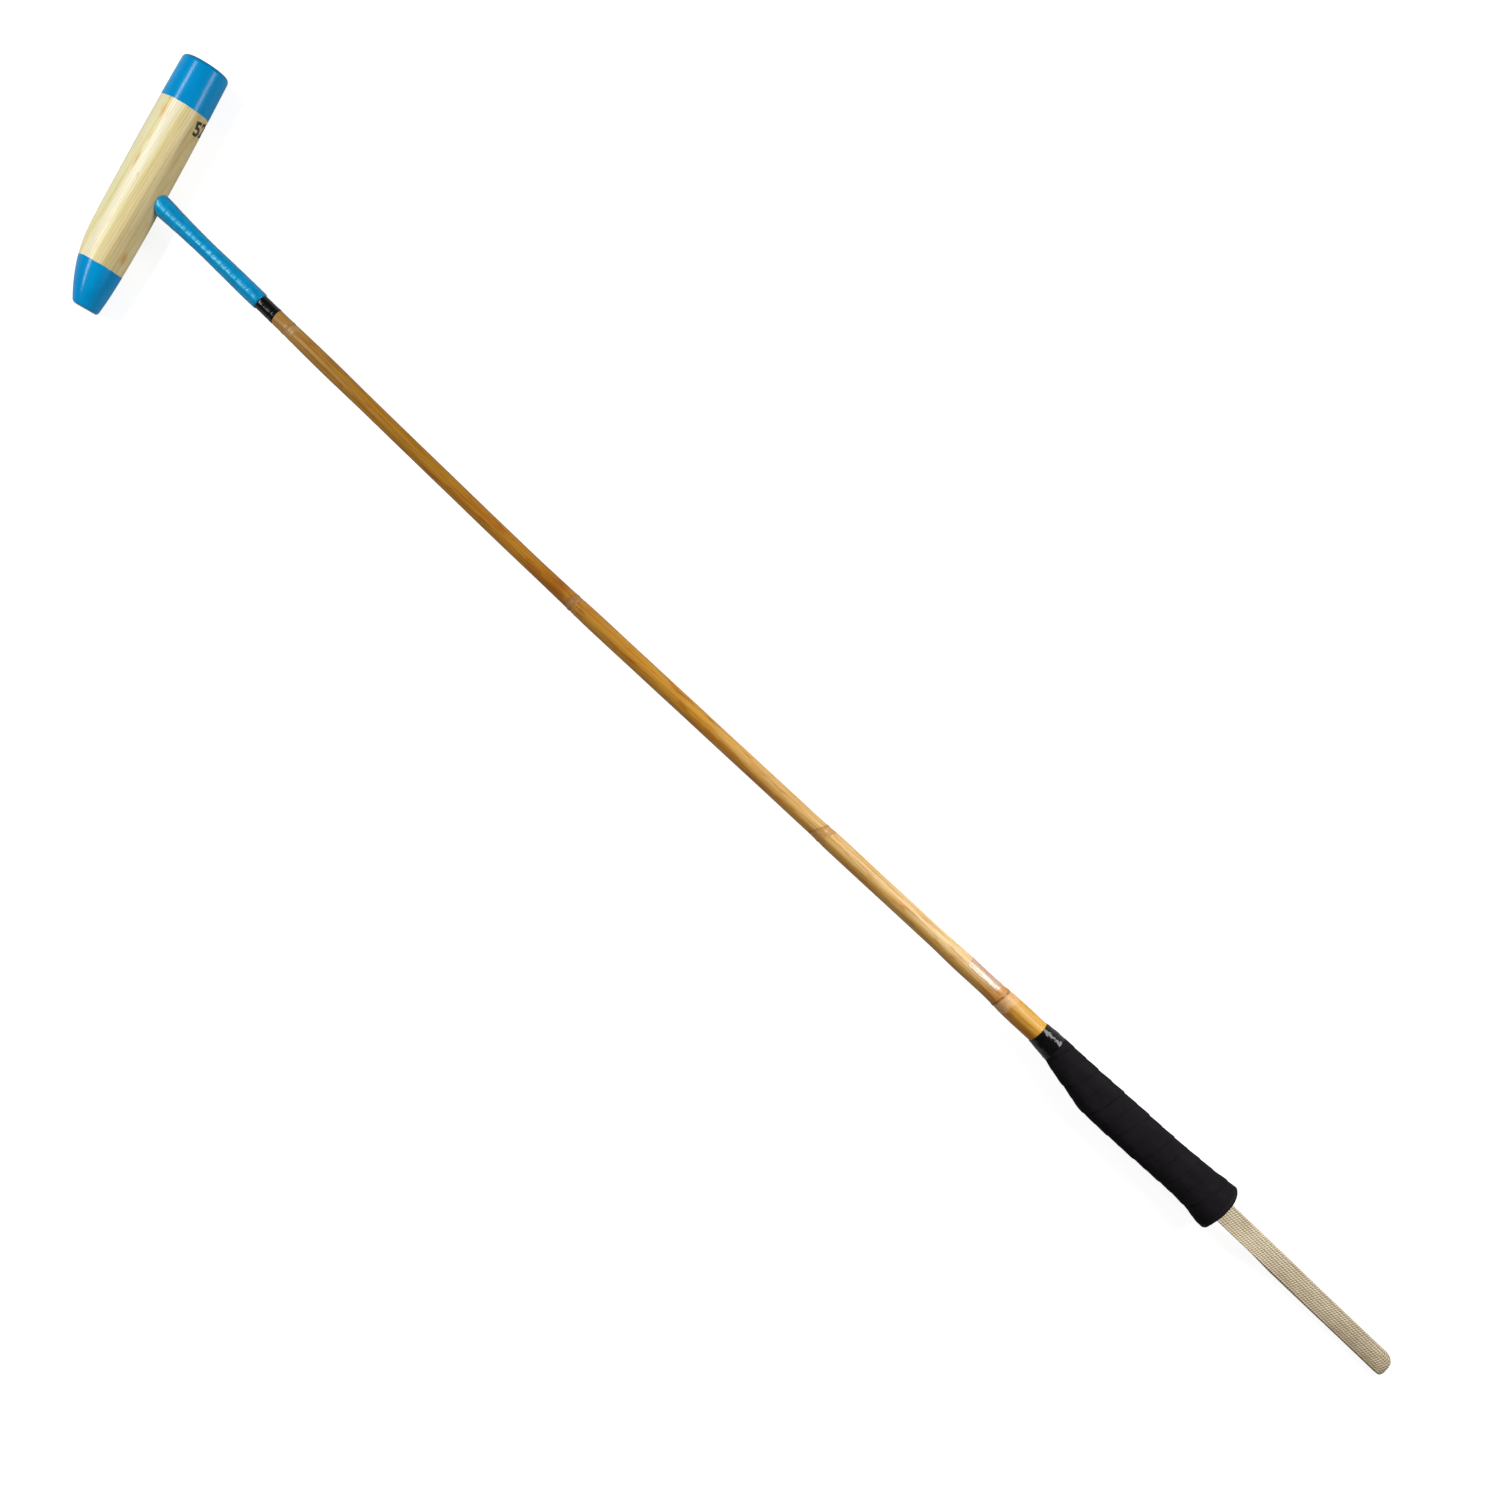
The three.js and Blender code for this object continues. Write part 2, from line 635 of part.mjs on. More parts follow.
// Wrist strap: one webbing band, out along the ground, round a fold and back above itself.
function wristStrapSolid() {
  const half = STRAP_THICKNESS / 2;
  const foldAt = STRAP_REACH - STRAP_FOLD_RADIUS - half;
  const distances = spread(0, foldAt, STRAP_RUN_STEPS);
  const slopeAt = (run, distance) => {
    const step = foldAt / STRAP_RUN_STEPS / 2;
    return (runHeights(distance + step)[run] - runHeights(distance - step)[run]) / (2 * step);
  };
  // One face of a run, offset to the given side of its middle line, clear of the root.
  const face = (run, side) =>
    distances.slice(1).map((distance) => {
      const slope = distance < foldAt ? slopeAt(run, distance) : 0;
      const scale = (side * half) / Math.hypot(1, slope);
      return [distance - slope * scale, runHeights(distance)[run] + scale];
    });
  const arc = (radius) => {
    const centre = half + STRAP_FOLD_RADIUS;
    return spread(-Math.PI / 2, Math.PI / 2, STRAP_FOLD_STEPS)
      .slice(1, -1)
      .map((angle) => [foldAt + radius * Math.cos(angle), centre + radius * Math.sin(angle)]);
  };
  // Rounded root end of a run: part of a circle about the hinge.
  const radius = STRAP_DOUBLE / 2;
  const inner = Math.asin(STRAP_LAYER_GAP / 2 / radius);
  const root = (side) =>
    spread(inner, Math.PI / 2, STRAP_ROOT_STEPS).map((angle) => [
      -radius * Math.cos(angle),
      heightAt(HINGE_X) + side * radius * Math.sin(angle),
    ]);
  const outline = [
    ...root(-1),
    ...face(0, -1),
    ...arc(STRAP_FOLD_RADIUS + half),
    ...face(1, 1).reverse(),
    ...root(1).reverse(),
    [0, heightAt(HINGE_X) + STRAP_LAYER_GAP / 2],
    ...face(1, -1),
    ...arc(STRAP_FOLD_RADIUS - half).reverse(),
    ...face(0, 1).reverse(),
    [0, heightAt(HINGE_X) - STRAP_LAYER_GAP / 2],
  ];
  const shape = new THREE.Shape(outline.map(([x, z]) => new THREE.Vector2(x, z)));
  const geometry = new THREE.ExtrudeGeometry(shape, { depth: STRAP_WIDTH, bevelEnabled: false });
  geometry.rotateX(Math.PI / 2);
  geometry.translate(HINGE_X, STRAP_WIDTH / 2 + bowAt(BUTT_X) - STRAP_SIDE_FALL, 0);
  return toSolid(geometry);
}

// Head, cane and wedge are cut to each other where they meet.
const headOutline = headSolid(0);
const cane = settled(caneOutline(0).subtract(wedgeSolid(CLEARANCE, CUT_OVERRUN)));
const pastHead = boxSolid([0, -MALLET_LENGTH, -MALLET_LENGTH], [BUTT_X, MALLET_LENGTH, MALLET_LENGTH]);

const finishes = {
  ash: { color: "#dccfa0", roughness: 0.35, metalness: 0 },
  beech: { color: "#b98a55", roughness: 0.6, metalness: 0 },
  cane: { color: "#ab7832", roughness: 0.35, metalness: 0 },
  blueTape: { color: "#2593c8", roughness: 0.3, metalness: 0 },
  blackTape: { color: "#161416", roughness: 0.25, metalness: 0 },
  film: { color: "#e6dcc0", roughness: 0.15, metalness: 0 },
  overGrip: { color: "#1b191b", roughness: 0.8, metalness: 0 },
  rubber: { color: "#1a181a", roughness: 0.75, metalness: 0 },
  steel: { color: "#9a9a9c", roughness: 0.35, metalness: 1 },
  webbing: { color: "#c4b59c", roughness: 0.95, metalness: 0 },
};

function piece(name, solid, finish) {
  const geometry = toGeometry(solid).toNonIndexed();
  geometry.computeVertexNormals();
  const mesh = new THREE.Mesh(geometry, new THREE.MeshStandardMaterial(finishes[finish]));
  mesh.name = name;
  return mesh;
}

function headGroup() {
  const group = new THREE.Group();
  group.add(piece("head_body", headOutline.subtract(settled(caneOutline(CLEARANCE))), "ash"));
  const wedge = settled(wedgeSolid(0, -CLEARANCE)).intersect(headOutline);
  group.add(piece("head_wedge", wedge, "beech"));
  return group;
}

function caneGroup() {
  const group = new THREE.Group();
  group.add(piece("cane_shaft", cane.intersect(headOutline.add(pastHead)), "cane"));
  group.add(piece("neck_binding", bindingSolid(), "blueTape"));
  group.add(piece("neck_tape", neckTapeSolid(), "blackTape"));
  group.add(piece("cane_label", labelSolid(), "film"));
  return group;
}

function gripGroup() {
  const group = new THREE.Group();
  group.add(piece("handle_block", handleBlockSolid(), "beech"));
  group.add(piece("handle_cheek_left", cheekSolid(1), "beech"));
  group.add(piece("handle_cheek_right", cheekSolid(-1), "beech"));
  group.add(piece("grip_wrap", gripWrapSolid(), "overGrip"));
  group.add(piece("grip_neck_tape", gripNeckTapeSolid(), "blackTape"));
  group.add(piece("butt_cap", buttCapSolid(), "rubber"));
  return group;
}

function strapGroup() {
  const group = new THREE.Group();
  group.add(piece("strap_tail", strapTailSolid(), "webbing"));
  ["strap_pin_near", "strap_pin_far"].forEach((name, i) => {
    group.add(piece(name, settled(pinSolid(pinDepthShares[i], 0)), "steel"));
  });
  group.add(piece("wrist_strap", wristStrapSolid(), "webbing"));
  return group;
}

const mallet = new THREE.Group();
mallet.add(headGroup(), caneGroup(), gripGroup(), strapGroup());

// The origin is the centre of the footprint, on the ground.
const bounds = new THREE.Box3().setFromObject(mallet);
const middle = bounds.getCenter(new THREE.Vector3());
mallet.position.set(-middle.x, -middle.y, -bounds.min.z);

export default mallet;
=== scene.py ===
# %% [markdown]
# A polo mallet: a turned hardwood head on the end of a tapered cane, a wound binding where the
# two meet, and a wrapped handle with a cotton wrist strap. It lies on its side and is seen from
# straight above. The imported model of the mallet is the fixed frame, and every piece made here
# goes where that model says. The frame is in metres, and the numbers below are in millimetres.

# %% Load the frame
import json

import bmesh
import bpy
import numpy as np
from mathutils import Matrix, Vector


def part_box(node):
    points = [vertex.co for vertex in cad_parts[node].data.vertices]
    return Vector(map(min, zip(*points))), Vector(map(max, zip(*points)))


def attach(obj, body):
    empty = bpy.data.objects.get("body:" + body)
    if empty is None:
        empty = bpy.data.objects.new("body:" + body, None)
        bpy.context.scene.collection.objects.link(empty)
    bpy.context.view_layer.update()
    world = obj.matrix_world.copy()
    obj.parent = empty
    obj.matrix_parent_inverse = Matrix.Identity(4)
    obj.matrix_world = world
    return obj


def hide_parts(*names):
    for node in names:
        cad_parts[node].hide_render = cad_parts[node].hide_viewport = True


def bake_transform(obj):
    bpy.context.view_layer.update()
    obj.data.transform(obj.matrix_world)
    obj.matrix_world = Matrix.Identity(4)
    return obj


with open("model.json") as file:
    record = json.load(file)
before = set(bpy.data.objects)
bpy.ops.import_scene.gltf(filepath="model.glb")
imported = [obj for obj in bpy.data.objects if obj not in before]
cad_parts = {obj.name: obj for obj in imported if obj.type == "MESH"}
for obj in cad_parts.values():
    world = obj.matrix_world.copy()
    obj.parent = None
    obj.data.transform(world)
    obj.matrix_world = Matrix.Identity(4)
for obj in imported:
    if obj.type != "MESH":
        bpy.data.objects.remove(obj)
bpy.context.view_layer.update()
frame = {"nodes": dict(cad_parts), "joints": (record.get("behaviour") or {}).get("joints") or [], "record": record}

print("nodes in the frame:", len(frame["nodes"]))

# %% [markdown]
# Sizes come from the frame where it holds them: the mounts give the two ends of the head, the
# hinge gives the root of the strap, and the boxes of the nodes give where each tape starts and
# ends. "Along" is measured on a straight cane from the point where the axes of head and cane
# cross, which keeps every formula below simple.

# %% Read places and sizes
MM = 1000.0
GROUND_SPARE = 0.01
SHAFT_HOLE_SHARE = 0.503
GRIP_LENGTH = 221.0
UP = np.array([0.0, 0.0, 1.0])
mounts = {mount["name"]: mount for mount in frame["record"]["mounts"]}
heel = np.array(mounts["heel_face"]["pos_m"]) * MM
toe = np.array(mounts["toe_face"]["pos_m"]) * MM
hinge = np.array(frame["joints"][0]["pos_m"]) * MM
TO_TOE = -np.array(mounts["heel_face"]["axis"])
TO_SHAFT = np.cross(UP, TO_TOE)
HEAD_LENGTH = (toe - heel) @ TO_TOE
HEAD_RADIUS = heel[2] - GROUND_SPARE
cross = heel + SHAFT_HOLE_SHARE * HEAD_LENGTH * TO_TOE


def node_span(node):
    """Where a node starts and ends along the cane, from its box in the frame."""
    low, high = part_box(node)
    return low.x * MM - cross[0], high.x * MM - cross[0]


NECK_TAPE_START, NECK_TAPE_END = node_span("neck_tape")
LABEL_START, LABEL_END = node_span("cane_label")
FINISH_TAPE_START, FINISH_TAPE_END = node_span("grip_neck_tape")
GRIP_END = node_span("grip_wrap")[1]
CAP_START, BUTT = node_span("butt_cap")
CANE_REACH = node_span("cane_shaft")[1]
HINGE = hinge[0] - cross[0]
STRAP_REACH = node_span("wrist_strap")[1] - HINGE
GRIP_START = BUTT - GRIP_LENGTH
print("head", round(HEAD_LENGTH, 1), "butt at", round(BUTT, 1), "strap reach", round(STRAP_REACH, 1))

# %% [markdown]
# A handmade stick has no straight lines. Its outlines are tables with a few pairs of place and
# value, with smooth curves through them, and the cane also has a slight bow and lies a little
# lower at the thinner handle than at the head.

# %% Curves, bow and height
BEND_AT = 475.6
BEND_SOFTNESS = 60.0
SLOPE_TO_BEND = -0.008
SLOPE_FROM_BEND = 0.016


def curve(table, place):
    """Smooth curve through pairs of place and value, as cubic pieces. The slope at a pair is
    the mean of the slopes beside it, or level where they point opposite ways."""
    places, values = np.array(table, float).T
    slopes = np.diff(values) / np.diff(places)
    means = (slopes[:-1] + slopes[1:]) / 2
    inner = np.where(slopes[:-1] * slopes[1:] > 0, means, 0)
    tangents = np.concatenate([slopes[:1], inner, slopes[-1:]])
    i = np.clip(np.searchsorted(places, place) - 1, 0, len(places) - 2)
    span = places[i + 1] - places[i]
    u = np.clip((place - places[i]) / span, 0, 1)
    rise = u * u * (3 - 2 * u) * (values[i + 1] - values[i])
    leave = u * (1 - u) ** 2 * span * tangents[i]
    arrive = u * u * (u - 1) * span * tangents[i + 1]
    return values[i] + rise + leave + arrive


def bow(along):
    """Sideways place of the cane: two straight slopes that meet in a soft bend."""
    past = along - BEND_AT
    mean = (SLOPE_TO_BEND + SLOPE_FROM_BEND) / 2
    half = (SLOPE_FROM_BEND - SLOPE_TO_BEND) / 2
    return mean * past + half * np.hypot(past, BEND_SOFTNESS)


def height(along):
    """Height of the cane's centre: a straight line from the head to the hinge."""
    return cross[2] + (hinge[2] - cross[2]) * along / HINGE


def settle(points):
    """Points on the straight cane, given its bow and height, in the frame."""
    along, side, up = np.moveaxis(points, -1, 0)
    return np.stack([along + cross[0], side + cross[1] + bow(along) - bow(0), up + height(along)], -1)


def unsettle(points):
    """The other way round: points in the frame as places on the straight cane."""
    along = points[..., 0] - cross[0]
    side = points[..., 1] - cross[1] - bow(along) + bow(0)
    return np.stack([along, side, points[..., 2] - height(along)], -1)


print("bow at the butt", round(float(bow(BUTT) - bow(0)), 2), "mm")

# %% [markdown]
# Every piece is a skin over rings of points. One array of shape (rings, sides, 3) holds the
# whole surface, and the faces come from index arithmetic, so no loop visits a point. A sleeve
# joins its last ring to its first, and anything else gets a fan over each end.

# %% Skins over rings
SHARP_ANGLE = np.radians(42)


def note(mesh, name, values):
    """Keeps one number or one vector for each point of a mesh, under a name."""
    kind, key = ("FLOAT", "value") if values.ndim == 1 else ("FLOAT_VECTOR", "vector")
    attribute = mesh.attributes.new(name, kind, "POINT")
    attribute.data.foreach_set(key, values.astype(np.float32).ravel())


def new_object(name, points, faces, notes):
    """An object in the frame's metres, with smooth faces, sharp only where they meet steeply."""
    mesh = bpy.data.meshes.new(name)
    mesh.from_pydata((points / MM).tolist(), [], faces)
    mesh.polygons.foreach_set("use_smooth", np.ones(len(mesh.polygons), bool))
    mesh.set_sharp_from_angle(angle=SHARP_ANGLE)
    for key, values in notes.items():
        note(mesh, key, values)
    made = bpy.data.objects.new(name, mesh)
    bpy.context.scene.collection.objects.link(made)
    print(name, len(mesh.vertices), "points", len(mesh.polygons), "faces")
    return made


def skin(name, rings, sleeve=False, **notes):
    """Joins each ring of points to the next, and the last point of a ring to its first. A
    sleeve also joins the last ring to the first, and any other skin is closed at both ends by
    a fan about the middle of the end ring."""
    count, sides = rings.shape[:2]
    here = np.arange(count * sides).reshape(count, sides)
    after = np.roll(here, -1, axis=1)
    upper, upper_after = np.roll(here, -1, axis=0), np.roll(after, -1, axis=0)
    joined = count if sleeve else count - 1
    faces = np.stack([here, after, upper_after, upper], -1)[:joined].reshape(-1, 4).tolist()
    ends = [] if sleeve else [0, count - 1]
    if not sleeve:
        middle = np.full(sides, count * sides)
        faces += np.stack([middle, after[0], here[0]], -1).tolist()
        faces += np.stack([middle + 1, here[-1], after[-1]], -1).tolist()

    def flat(values):
        """Values as one list, with the mean of each end ring after them."""
        listed = values.reshape(count * sides, *values.shape[2:])
        return np.concatenate([listed] + [values[end].mean(0)[None] for end in ends])

    kept = {key: flat(values) for key, values in notes.items()}
    return new_object(name, flat(rings), faces, kept)


print("edges are sharp from", round(float(np.degrees(SHARP_ANGLE))), "degrees")

# %% [markdown]
# A few short formulas serve all the pieces: angles round a ring, points round the cane, soft
# steps and soft bumps.

# %% Rings, steps and bumps


def around(sides):
    """Angles round a ring, from the side of the cane that faces +Y, over the top."""
    return np.arange(sides) * 2 * np.pi / sides


def column(values):
    """A list of numbers as a column, so that it spreads along the rings."""
    return np.asarray(values, float)[:, None]


def as_points(x, side, up):
    """Three parts of a place, spread to one shape and joined."""
    return np.stack(np.broadcast_arrays(x, side, up), -1)


def tube(x, radius, angle):
    """Points round the straight cane: x along it, and the radius times cosine and sine."""
    return as_points(x, radius * np.cos(angle), radius * np.sin(angle))


def corners(x, side, half_side, up, half_up):
    """Rings of four corners: the middle plus or minus half the width and half the height."""
    across = side + half_side * np.array([1.0, -1.0, -1.0, 1.0])
    return as_points(x, across, up + half_up * np.array([1.0, 1.0, -1.0, -1.0]))


def rows(sides, *parts):
    """Place, inset and fill for a run of rows. Each part gives the three as numbers, columns
    or arrays, and they are spread to one value for each row and side."""
    wide = np.zeros((1, sides))
    spread = [np.broadcast_arrays(*part, wide)[:3] for part in parts]
    return [np.concatenate(values) for values in zip(*spread)]


def quarter_round(radius, count=9):
    """Place and inset of the rows of a rounded edge: a quarter of a circle."""
    turn = column(np.linspace(0, np.pi / 2, count))
    return radius * (1 - np.cos(turn)), radius * (1 - np.sin(turn))


def fade(value, start, end):
    """0 before start, 1 after end, with a soft rise between."""
    u = np.clip((value - start) / (end - start), 0, 1)
    return u * u * (3 - 2 * u)


def ripple(points, size, seed):
    """Soft bumps of about the given size in mm, from -1 to 1: the mean of twelve plane waves
    with seeded directions and phases."""
    random = np.random.default_rng(seed)
    waves = random.normal(size=(3, 12))
    waves *= 2 * np.pi / (size * np.linalg.norm(waves, axis=0) * random.uniform(0.7, 1.4, 12))
    phases = random.uniform(0, 2 * np.pi, 12)
    return 1.8 * np.sin(points @ waves + phases).mean(-1)


print("a ring of 4 points:", np.degrees(around(4)).round().tolist())

# %% [markdown]
# Each point also keeps its place on the piece in an attribute called own, in millimetres, and
# the patterns of the materials read that. They follow the bow of the cane and never meet in a
# seam. A finished piece is then tied to the moving body of the frame that carries it.

# %% Own places, cuts and bodies


def points_of(made):
    """The points of an object, in mm."""
    points = np.empty(len(made.data.vertices) * 3, np.float32)
    made.data.vertices.foreach_get("co", points)
    return points.reshape(-1, 3).astype(float) * MM


def cane_frame(made):
    """Notes each point's place on the straight cane, after any cutting is done."""
    note(made.data, "own", unsettle(points_of(made)))


def head_frame(made):
    """Notes each point's place on the head: along its axis, towards the shaft, and up."""
    away = points_of(made) - heel
    note(made.data, "own", np.stack([away @ TO_TOE, away @ TO_SHAFT, away @ UP], -1))


def cut(made, tool):
    """Takes the tool's shape out of a piece for good, and removes the tool."""
    modifier = made.modifiers.new("cut", "BOOLEAN")
    modifier.operation = "DIFFERENCE"
    modifier.solver = "EXACT"
    modifier.object = tool
    bpy.context.view_layer.update()
    evaluated = made.evaluated_get(bpy.context.evaluated_depsgraph_get())
    mesh = bpy.data.meshes.new_from_object(evaluated)
    made.modifiers.remove(modifier)
    made.data = mesh
    mesh.set_sharp_from_angle(angle=SHARP_ANGLE)
    bpy.data.objects.remove(tool)
    print(made.name, "after its cut:", len(mesh.polygons), "faces")


def give(made, material, body, slot, *nodes):
    """Gives a piece its finish and the CAD body that it moves with."""
    made.data.materials.clear()
    made.data.materials.append(material)
    if nodes:
        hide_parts(*nodes)
    if body:
        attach(made, body)


print("helpers for places, cuts and bodies are ready")

# %% [markdown]
# The photograph is taken from straight above, with the mallet on a slant. A camera over the
# middle of the object, turned about the vertical, gives that. Its distance shows in how much
# the far ends of the mallet lean outwards.

# %% Camera
CAMERA_PLACE = (-0.00495, 0.00758, 1.5727)
CAMERA_TURN = np.radians(43.64)
LENS = 42.72
SENSOR = 36.0
camera_data = bpy.data.cameras.new("camera")
camera_data.lens = LENS
camera_data.sensor_width = SENSOR
camera = bpy.data.objects.new("camera", camera_data)
camera.location = CAMERA_PLACE
camera.rotation_euler = (0.0, 0.0, CAMERA_TURN)
bpy.context.scene.collection.objects.link(camera)
bpy.context.scene.camera = camera
bpy.context.scene.view_settings.view_transform = "Standard"
print("camera", CAMERA_PLACE)

# %% [markdown]
# The head is turned from one piece of pale hardwood. It is a slight barrel, square at the heel,
# and its underside sweeps up to the toe. Its section is an oval whose four reaches follow the
# tables. The rows run from the middle of the heel, round the fillet, along the side and into
# the middle of the toe. A plain lathe shape would miss the swept toe.

# %% Head outline
HEEL_FILLET = 4.0
TOE_FILLET = 2.6
TOE_SWEEP_SHARE = 0.7
TOE_TIP_SHARE = 0.15
HEAD_SIDES = 128
head_radius_shares = [
    (0, 0.945), (0.13, 0.972), (0.25, 0.99), (0.38, 1), (0.62, 1),
    (0.72, 0.984), (0.82, 0.955), (0.92, 0.9), (1, 0.82),
]
head_thickness_shares = [
    (0, 0.945), (0.13, 0.972), (0.25, 0.99), (0.38, 1), (0.62, 1),
    (0.72, 0.984), (0.8, 0.95), (0.88, 0.87), (0.95, 0.75), (1, 0.62),
]


def head_points(place, inset, fill, angle):
    """Points of the head's section at a place along it. The section is an oval from the
    underside to the shaft side, drawn in by inset and scaled by fill towards its middle."""
    share = place / HEAD_LENGTH
    shaft_side = HEAD_RADIUS * curve(head_radius_shares, share)
    plain = HEAD_RADIUS * curve(head_radius_shares, np.minimum(share, TOE_SWEEP_SHARE))
    depth = HEAD_RADIUS * (curve(head_radius_shares, TOE_SWEEP_SHARE) - TOE_TIP_SHARE)
    into = np.clip((share - TOE_SWEEP_SHARE) / (1 - TOE_SWEEP_SHARE), 0, 1)
    underside = plain - depth * into**2
    thick = HEAD_RADIUS * curve(head_thickness_shares, share)
    middle = (shaft_side - underside) / 2
    half = (shaft_side + underside) / 2
    across = middle + (half - inset) * fill * np.cos(angle)
    up = (thick - inset) * fill * np.sin(angle)
    parts = [part[..., None] for part in np.broadcast_arrays(place, across, up)]
    return heel + parts[0] * TO_TOE + parts[1] * TO_SHAFT + parts[2] * UP


print("half width of the toe", round(HEAD_RADIUS * head_radius_shares[-1][1], 1), "mm")

# %% [markdown]
# The wood is one closed skin. It lies a paint's thickness inside the full size, so that the
# paint can lie on it. The hole for the cane runs right through, so a slanted rod is cut out.

# %% Head wood
PAINT = 0.3
PAINT_FACE = 0.19
CANE_NECK_RADIUS = 6.3
BORE_SPARE = 0.06
BORE_HALF = 40.0
SIDE_ROWS = 118
face_fill = column([0.2, 0.4, 0.6, 0.8, 0.95])
toe_place, toe_inset = quarter_round(TOE_FILLET)
side_place = column(np.linspace(HEEL_FILLET, HEAD_LENGTH - TOE_FILLET, SIDE_ROWS)[1:-1])
place, inset, fill = rows(
    HEAD_SIDES, (0, HEEL_FILLET, face_fill), (*quarter_round(HEEL_FILLET), 1), (side_place, 0, 1),
    (HEAD_LENGTH - toe_place[::-1], toe_inset[::-1], 1), (HEAD_LENGTH, TOE_FILLET, face_fill[::-1]),
)
deep = np.clip(place, PAINT, HEAD_LENGTH - PAINT)
head_wood = skin("head_wood", head_points(deep, inset + PAINT, fill, around(HEAD_SIDES)))
bore_x = column([-BORE_HALF, 0.0, BORE_HALF])
cut(head_wood, skin("bore", settle(tube(bore_x, CANE_NECK_RADIUS + BORE_SPARE, around(64)))))
head_frame(head_wood)

# %% [markdown]
# Both ends of the head are dipped in blue enamel. A dip leaves a thin coat with a rounded,
# slightly wandering edge, so each coat is a thin cup: the outer skin runs from the middle of
# the end face to the edge, rolls over, and comes back just inside.

# %% Enamel cups
HEEL_BAND_END = 41.0
TOE_BAND_START = 196.5
PAINT_SPARE = 0.04
lip_back = column([0.28, 0.08, 0, 0.1])
lip_inset = column([0.01, 0.04, 0.09, PAINT])


def edge_wander(angle, seed):
    """How far the edge of the paint strays at each angle: a few soft waves."""
    circle = as_points(np.cos(angle), np.sin(angle), 0)
    return 0.45 * ripple(circle, 1.1, seed) + 0.12 * ripple(circle, 0.25, seed + 1)


def enamel_cup(name, fillet, edge, from_toe, seed):
    """A cup from the middle of an end face to the edge of the paint and back inside. The four
    rows of the lip lie back from the edge and roll inwards."""
    angle = around(HEAD_SIDES)
    line = (HEAD_LENGTH - edge if from_toe else edge) + edge_wander(angle, seed)
    round_place, round_inset = quarter_round(fillet)
    side = fillet + (line - 0.5 - fillet) * column(np.linspace(0, 1, 30)[1:])
    back = (line - 1.0) * column([0.97, 0.6, 0.35])
    outer = rows(HEAD_SIDES, (0, fillet, face_fill), (round_place, round_inset, 1), (side, 0, 1),
                 (line - lip_back, lip_inset, 1))
    inner = rows(HEAD_SIDES, (back, 0, 1), (round_place[::-1], round_inset[::-1], 1),
                 (0, fillet, face_fill[::-1]))
    under = PAINT + PAINT_SPARE
    place = np.concatenate([np.maximum(outer[0], PAINT_FACE), np.maximum(inner[0], under)])
    inset = np.concatenate([outer[1] + PAINT_FACE, inner[1] + under])
    fill = np.concatenate([outer[2], inner[2]])
    if from_toe:
        place = HEAD_LENGTH - place
    rings = head_points(place, inset, fill, angle)
    made = skin(name, rings[:, ::-1] if from_toe else rings)
    head_frame(made)
    return made


enamel_heel = enamel_cup("enamel_heel", HEEL_FILLET, HEEL_BAND_END, False, 11)
enamel_toe = enamel_cup("enamel_toe", TOE_FILLET, TOE_BAND_START, True, 23)

# %% [markdown]
# A mallet carries its length in inches as plain ink figures near the heel. Figures drawn by a
# font are a flat shape. They are sliced into narrow strips, so that they can bend, laid on the
# round of the head with their top towards the heel, and given the thickness of a film of ink.

# %% Size figures in ink
FIGURES = "52"
FIGURE_HEIGHT = 13.6
FIGURE_WEIGHT = 0.035
FIGURE_TOP = 46.9
FIGURE_LEFT = np.radians(29.0)
FIGURE_LEAN = np.radians(12.0)
FIGURE_ROUND = 0.98 * HEAD_RADIUS
INK = 0.03

figure_curve = bpy.data.curves.new("figures", "FONT")
figure_curve.body = FIGURES
figure_curve.offset = FIGURE_WEIGHT
figure_curve.resolution_u = 8
figure_text = bpy.data.objects.new("figures", figure_curve)
bpy.context.scene.collection.objects.link(figure_text)
bpy.context.view_layer.update()
figure_mesh = bpy.data.meshes.new_from_object(figure_text)
bpy.data.objects.remove(figure_text)
strips = bmesh.new()
strips.from_mesh(figure_mesh)
bmesh.ops.remove_doubles(strips, verts=strips.verts, dist=1e-4)
for slice_at in np.arange(0.02, 1.6, 0.03):
    geometry = strips.verts[:] + strips.edges[:] + strips.faces[:]
    bmesh.ops.bisect_plane(strips, geom=geometry, plane_co=(slice_at, 0, 0), plane_no=(1, 0, 0))
bmesh.ops.triangulate(strips, faces=strips.faces)
flat_points = np.array([point.co for point in strips.verts])
flat_faces = [[point.index for point in face.verts] for face in strips.faces]
strips.free()
print("flat figures in", len(flat_faces), "triangles")

# %% [markdown]
# The slices now leave the plane: how far a point lies below the top of the figures becomes a
# place along the head, and how far it lies to the right becomes an angle round it.

# %% Figures laid on the head
flat_low, flat_high = flat_points.min(0), flat_points.max(0)
flat_size = flat_high - flat_low
unit = FIGURE_HEIGHT / flat_size[1]
rightward = (flat_points[:, 0] - flat_low[0]) * unit
downward = (flat_high[1] - flat_points[:, 1]) * unit
ink_place = FIGURE_TOP + downward * np.cos(FIGURE_LEAN) - rightward * np.sin(FIGURE_LEAN)
arc = rightward * np.cos(FIGURE_LEAN) + downward * np.sin(FIGURE_LEAN)
ink_points = head_points(ink_place, PAINT - INK, 1.0, FIGURE_LEFT - arc / FIGURE_ROUND)
size_figures = new_object("size_figures", ink_points, flat_faces, {})
head_frame(size_figures)
ink_layer = size_figures.modifiers.new("ink", "SOLIDIFY")
ink_layer.thickness = 2 * INK / MM
ink_layer.offset = -1.0
print("figures", round(flat_size[0] * unit, 1), "by", round(flat_size[1] * unit, 1), "mm")

# %% [markdown]
# The cane is one length of rattan-like cane with four nodes. It is dressed down where it passes
# the head, and its outline follows a table. A node is where the plant's sheath sat: a low ring
# with a fine groove beside it, never quite square to the cane. The lower end is trimmed to the
# round of the head.

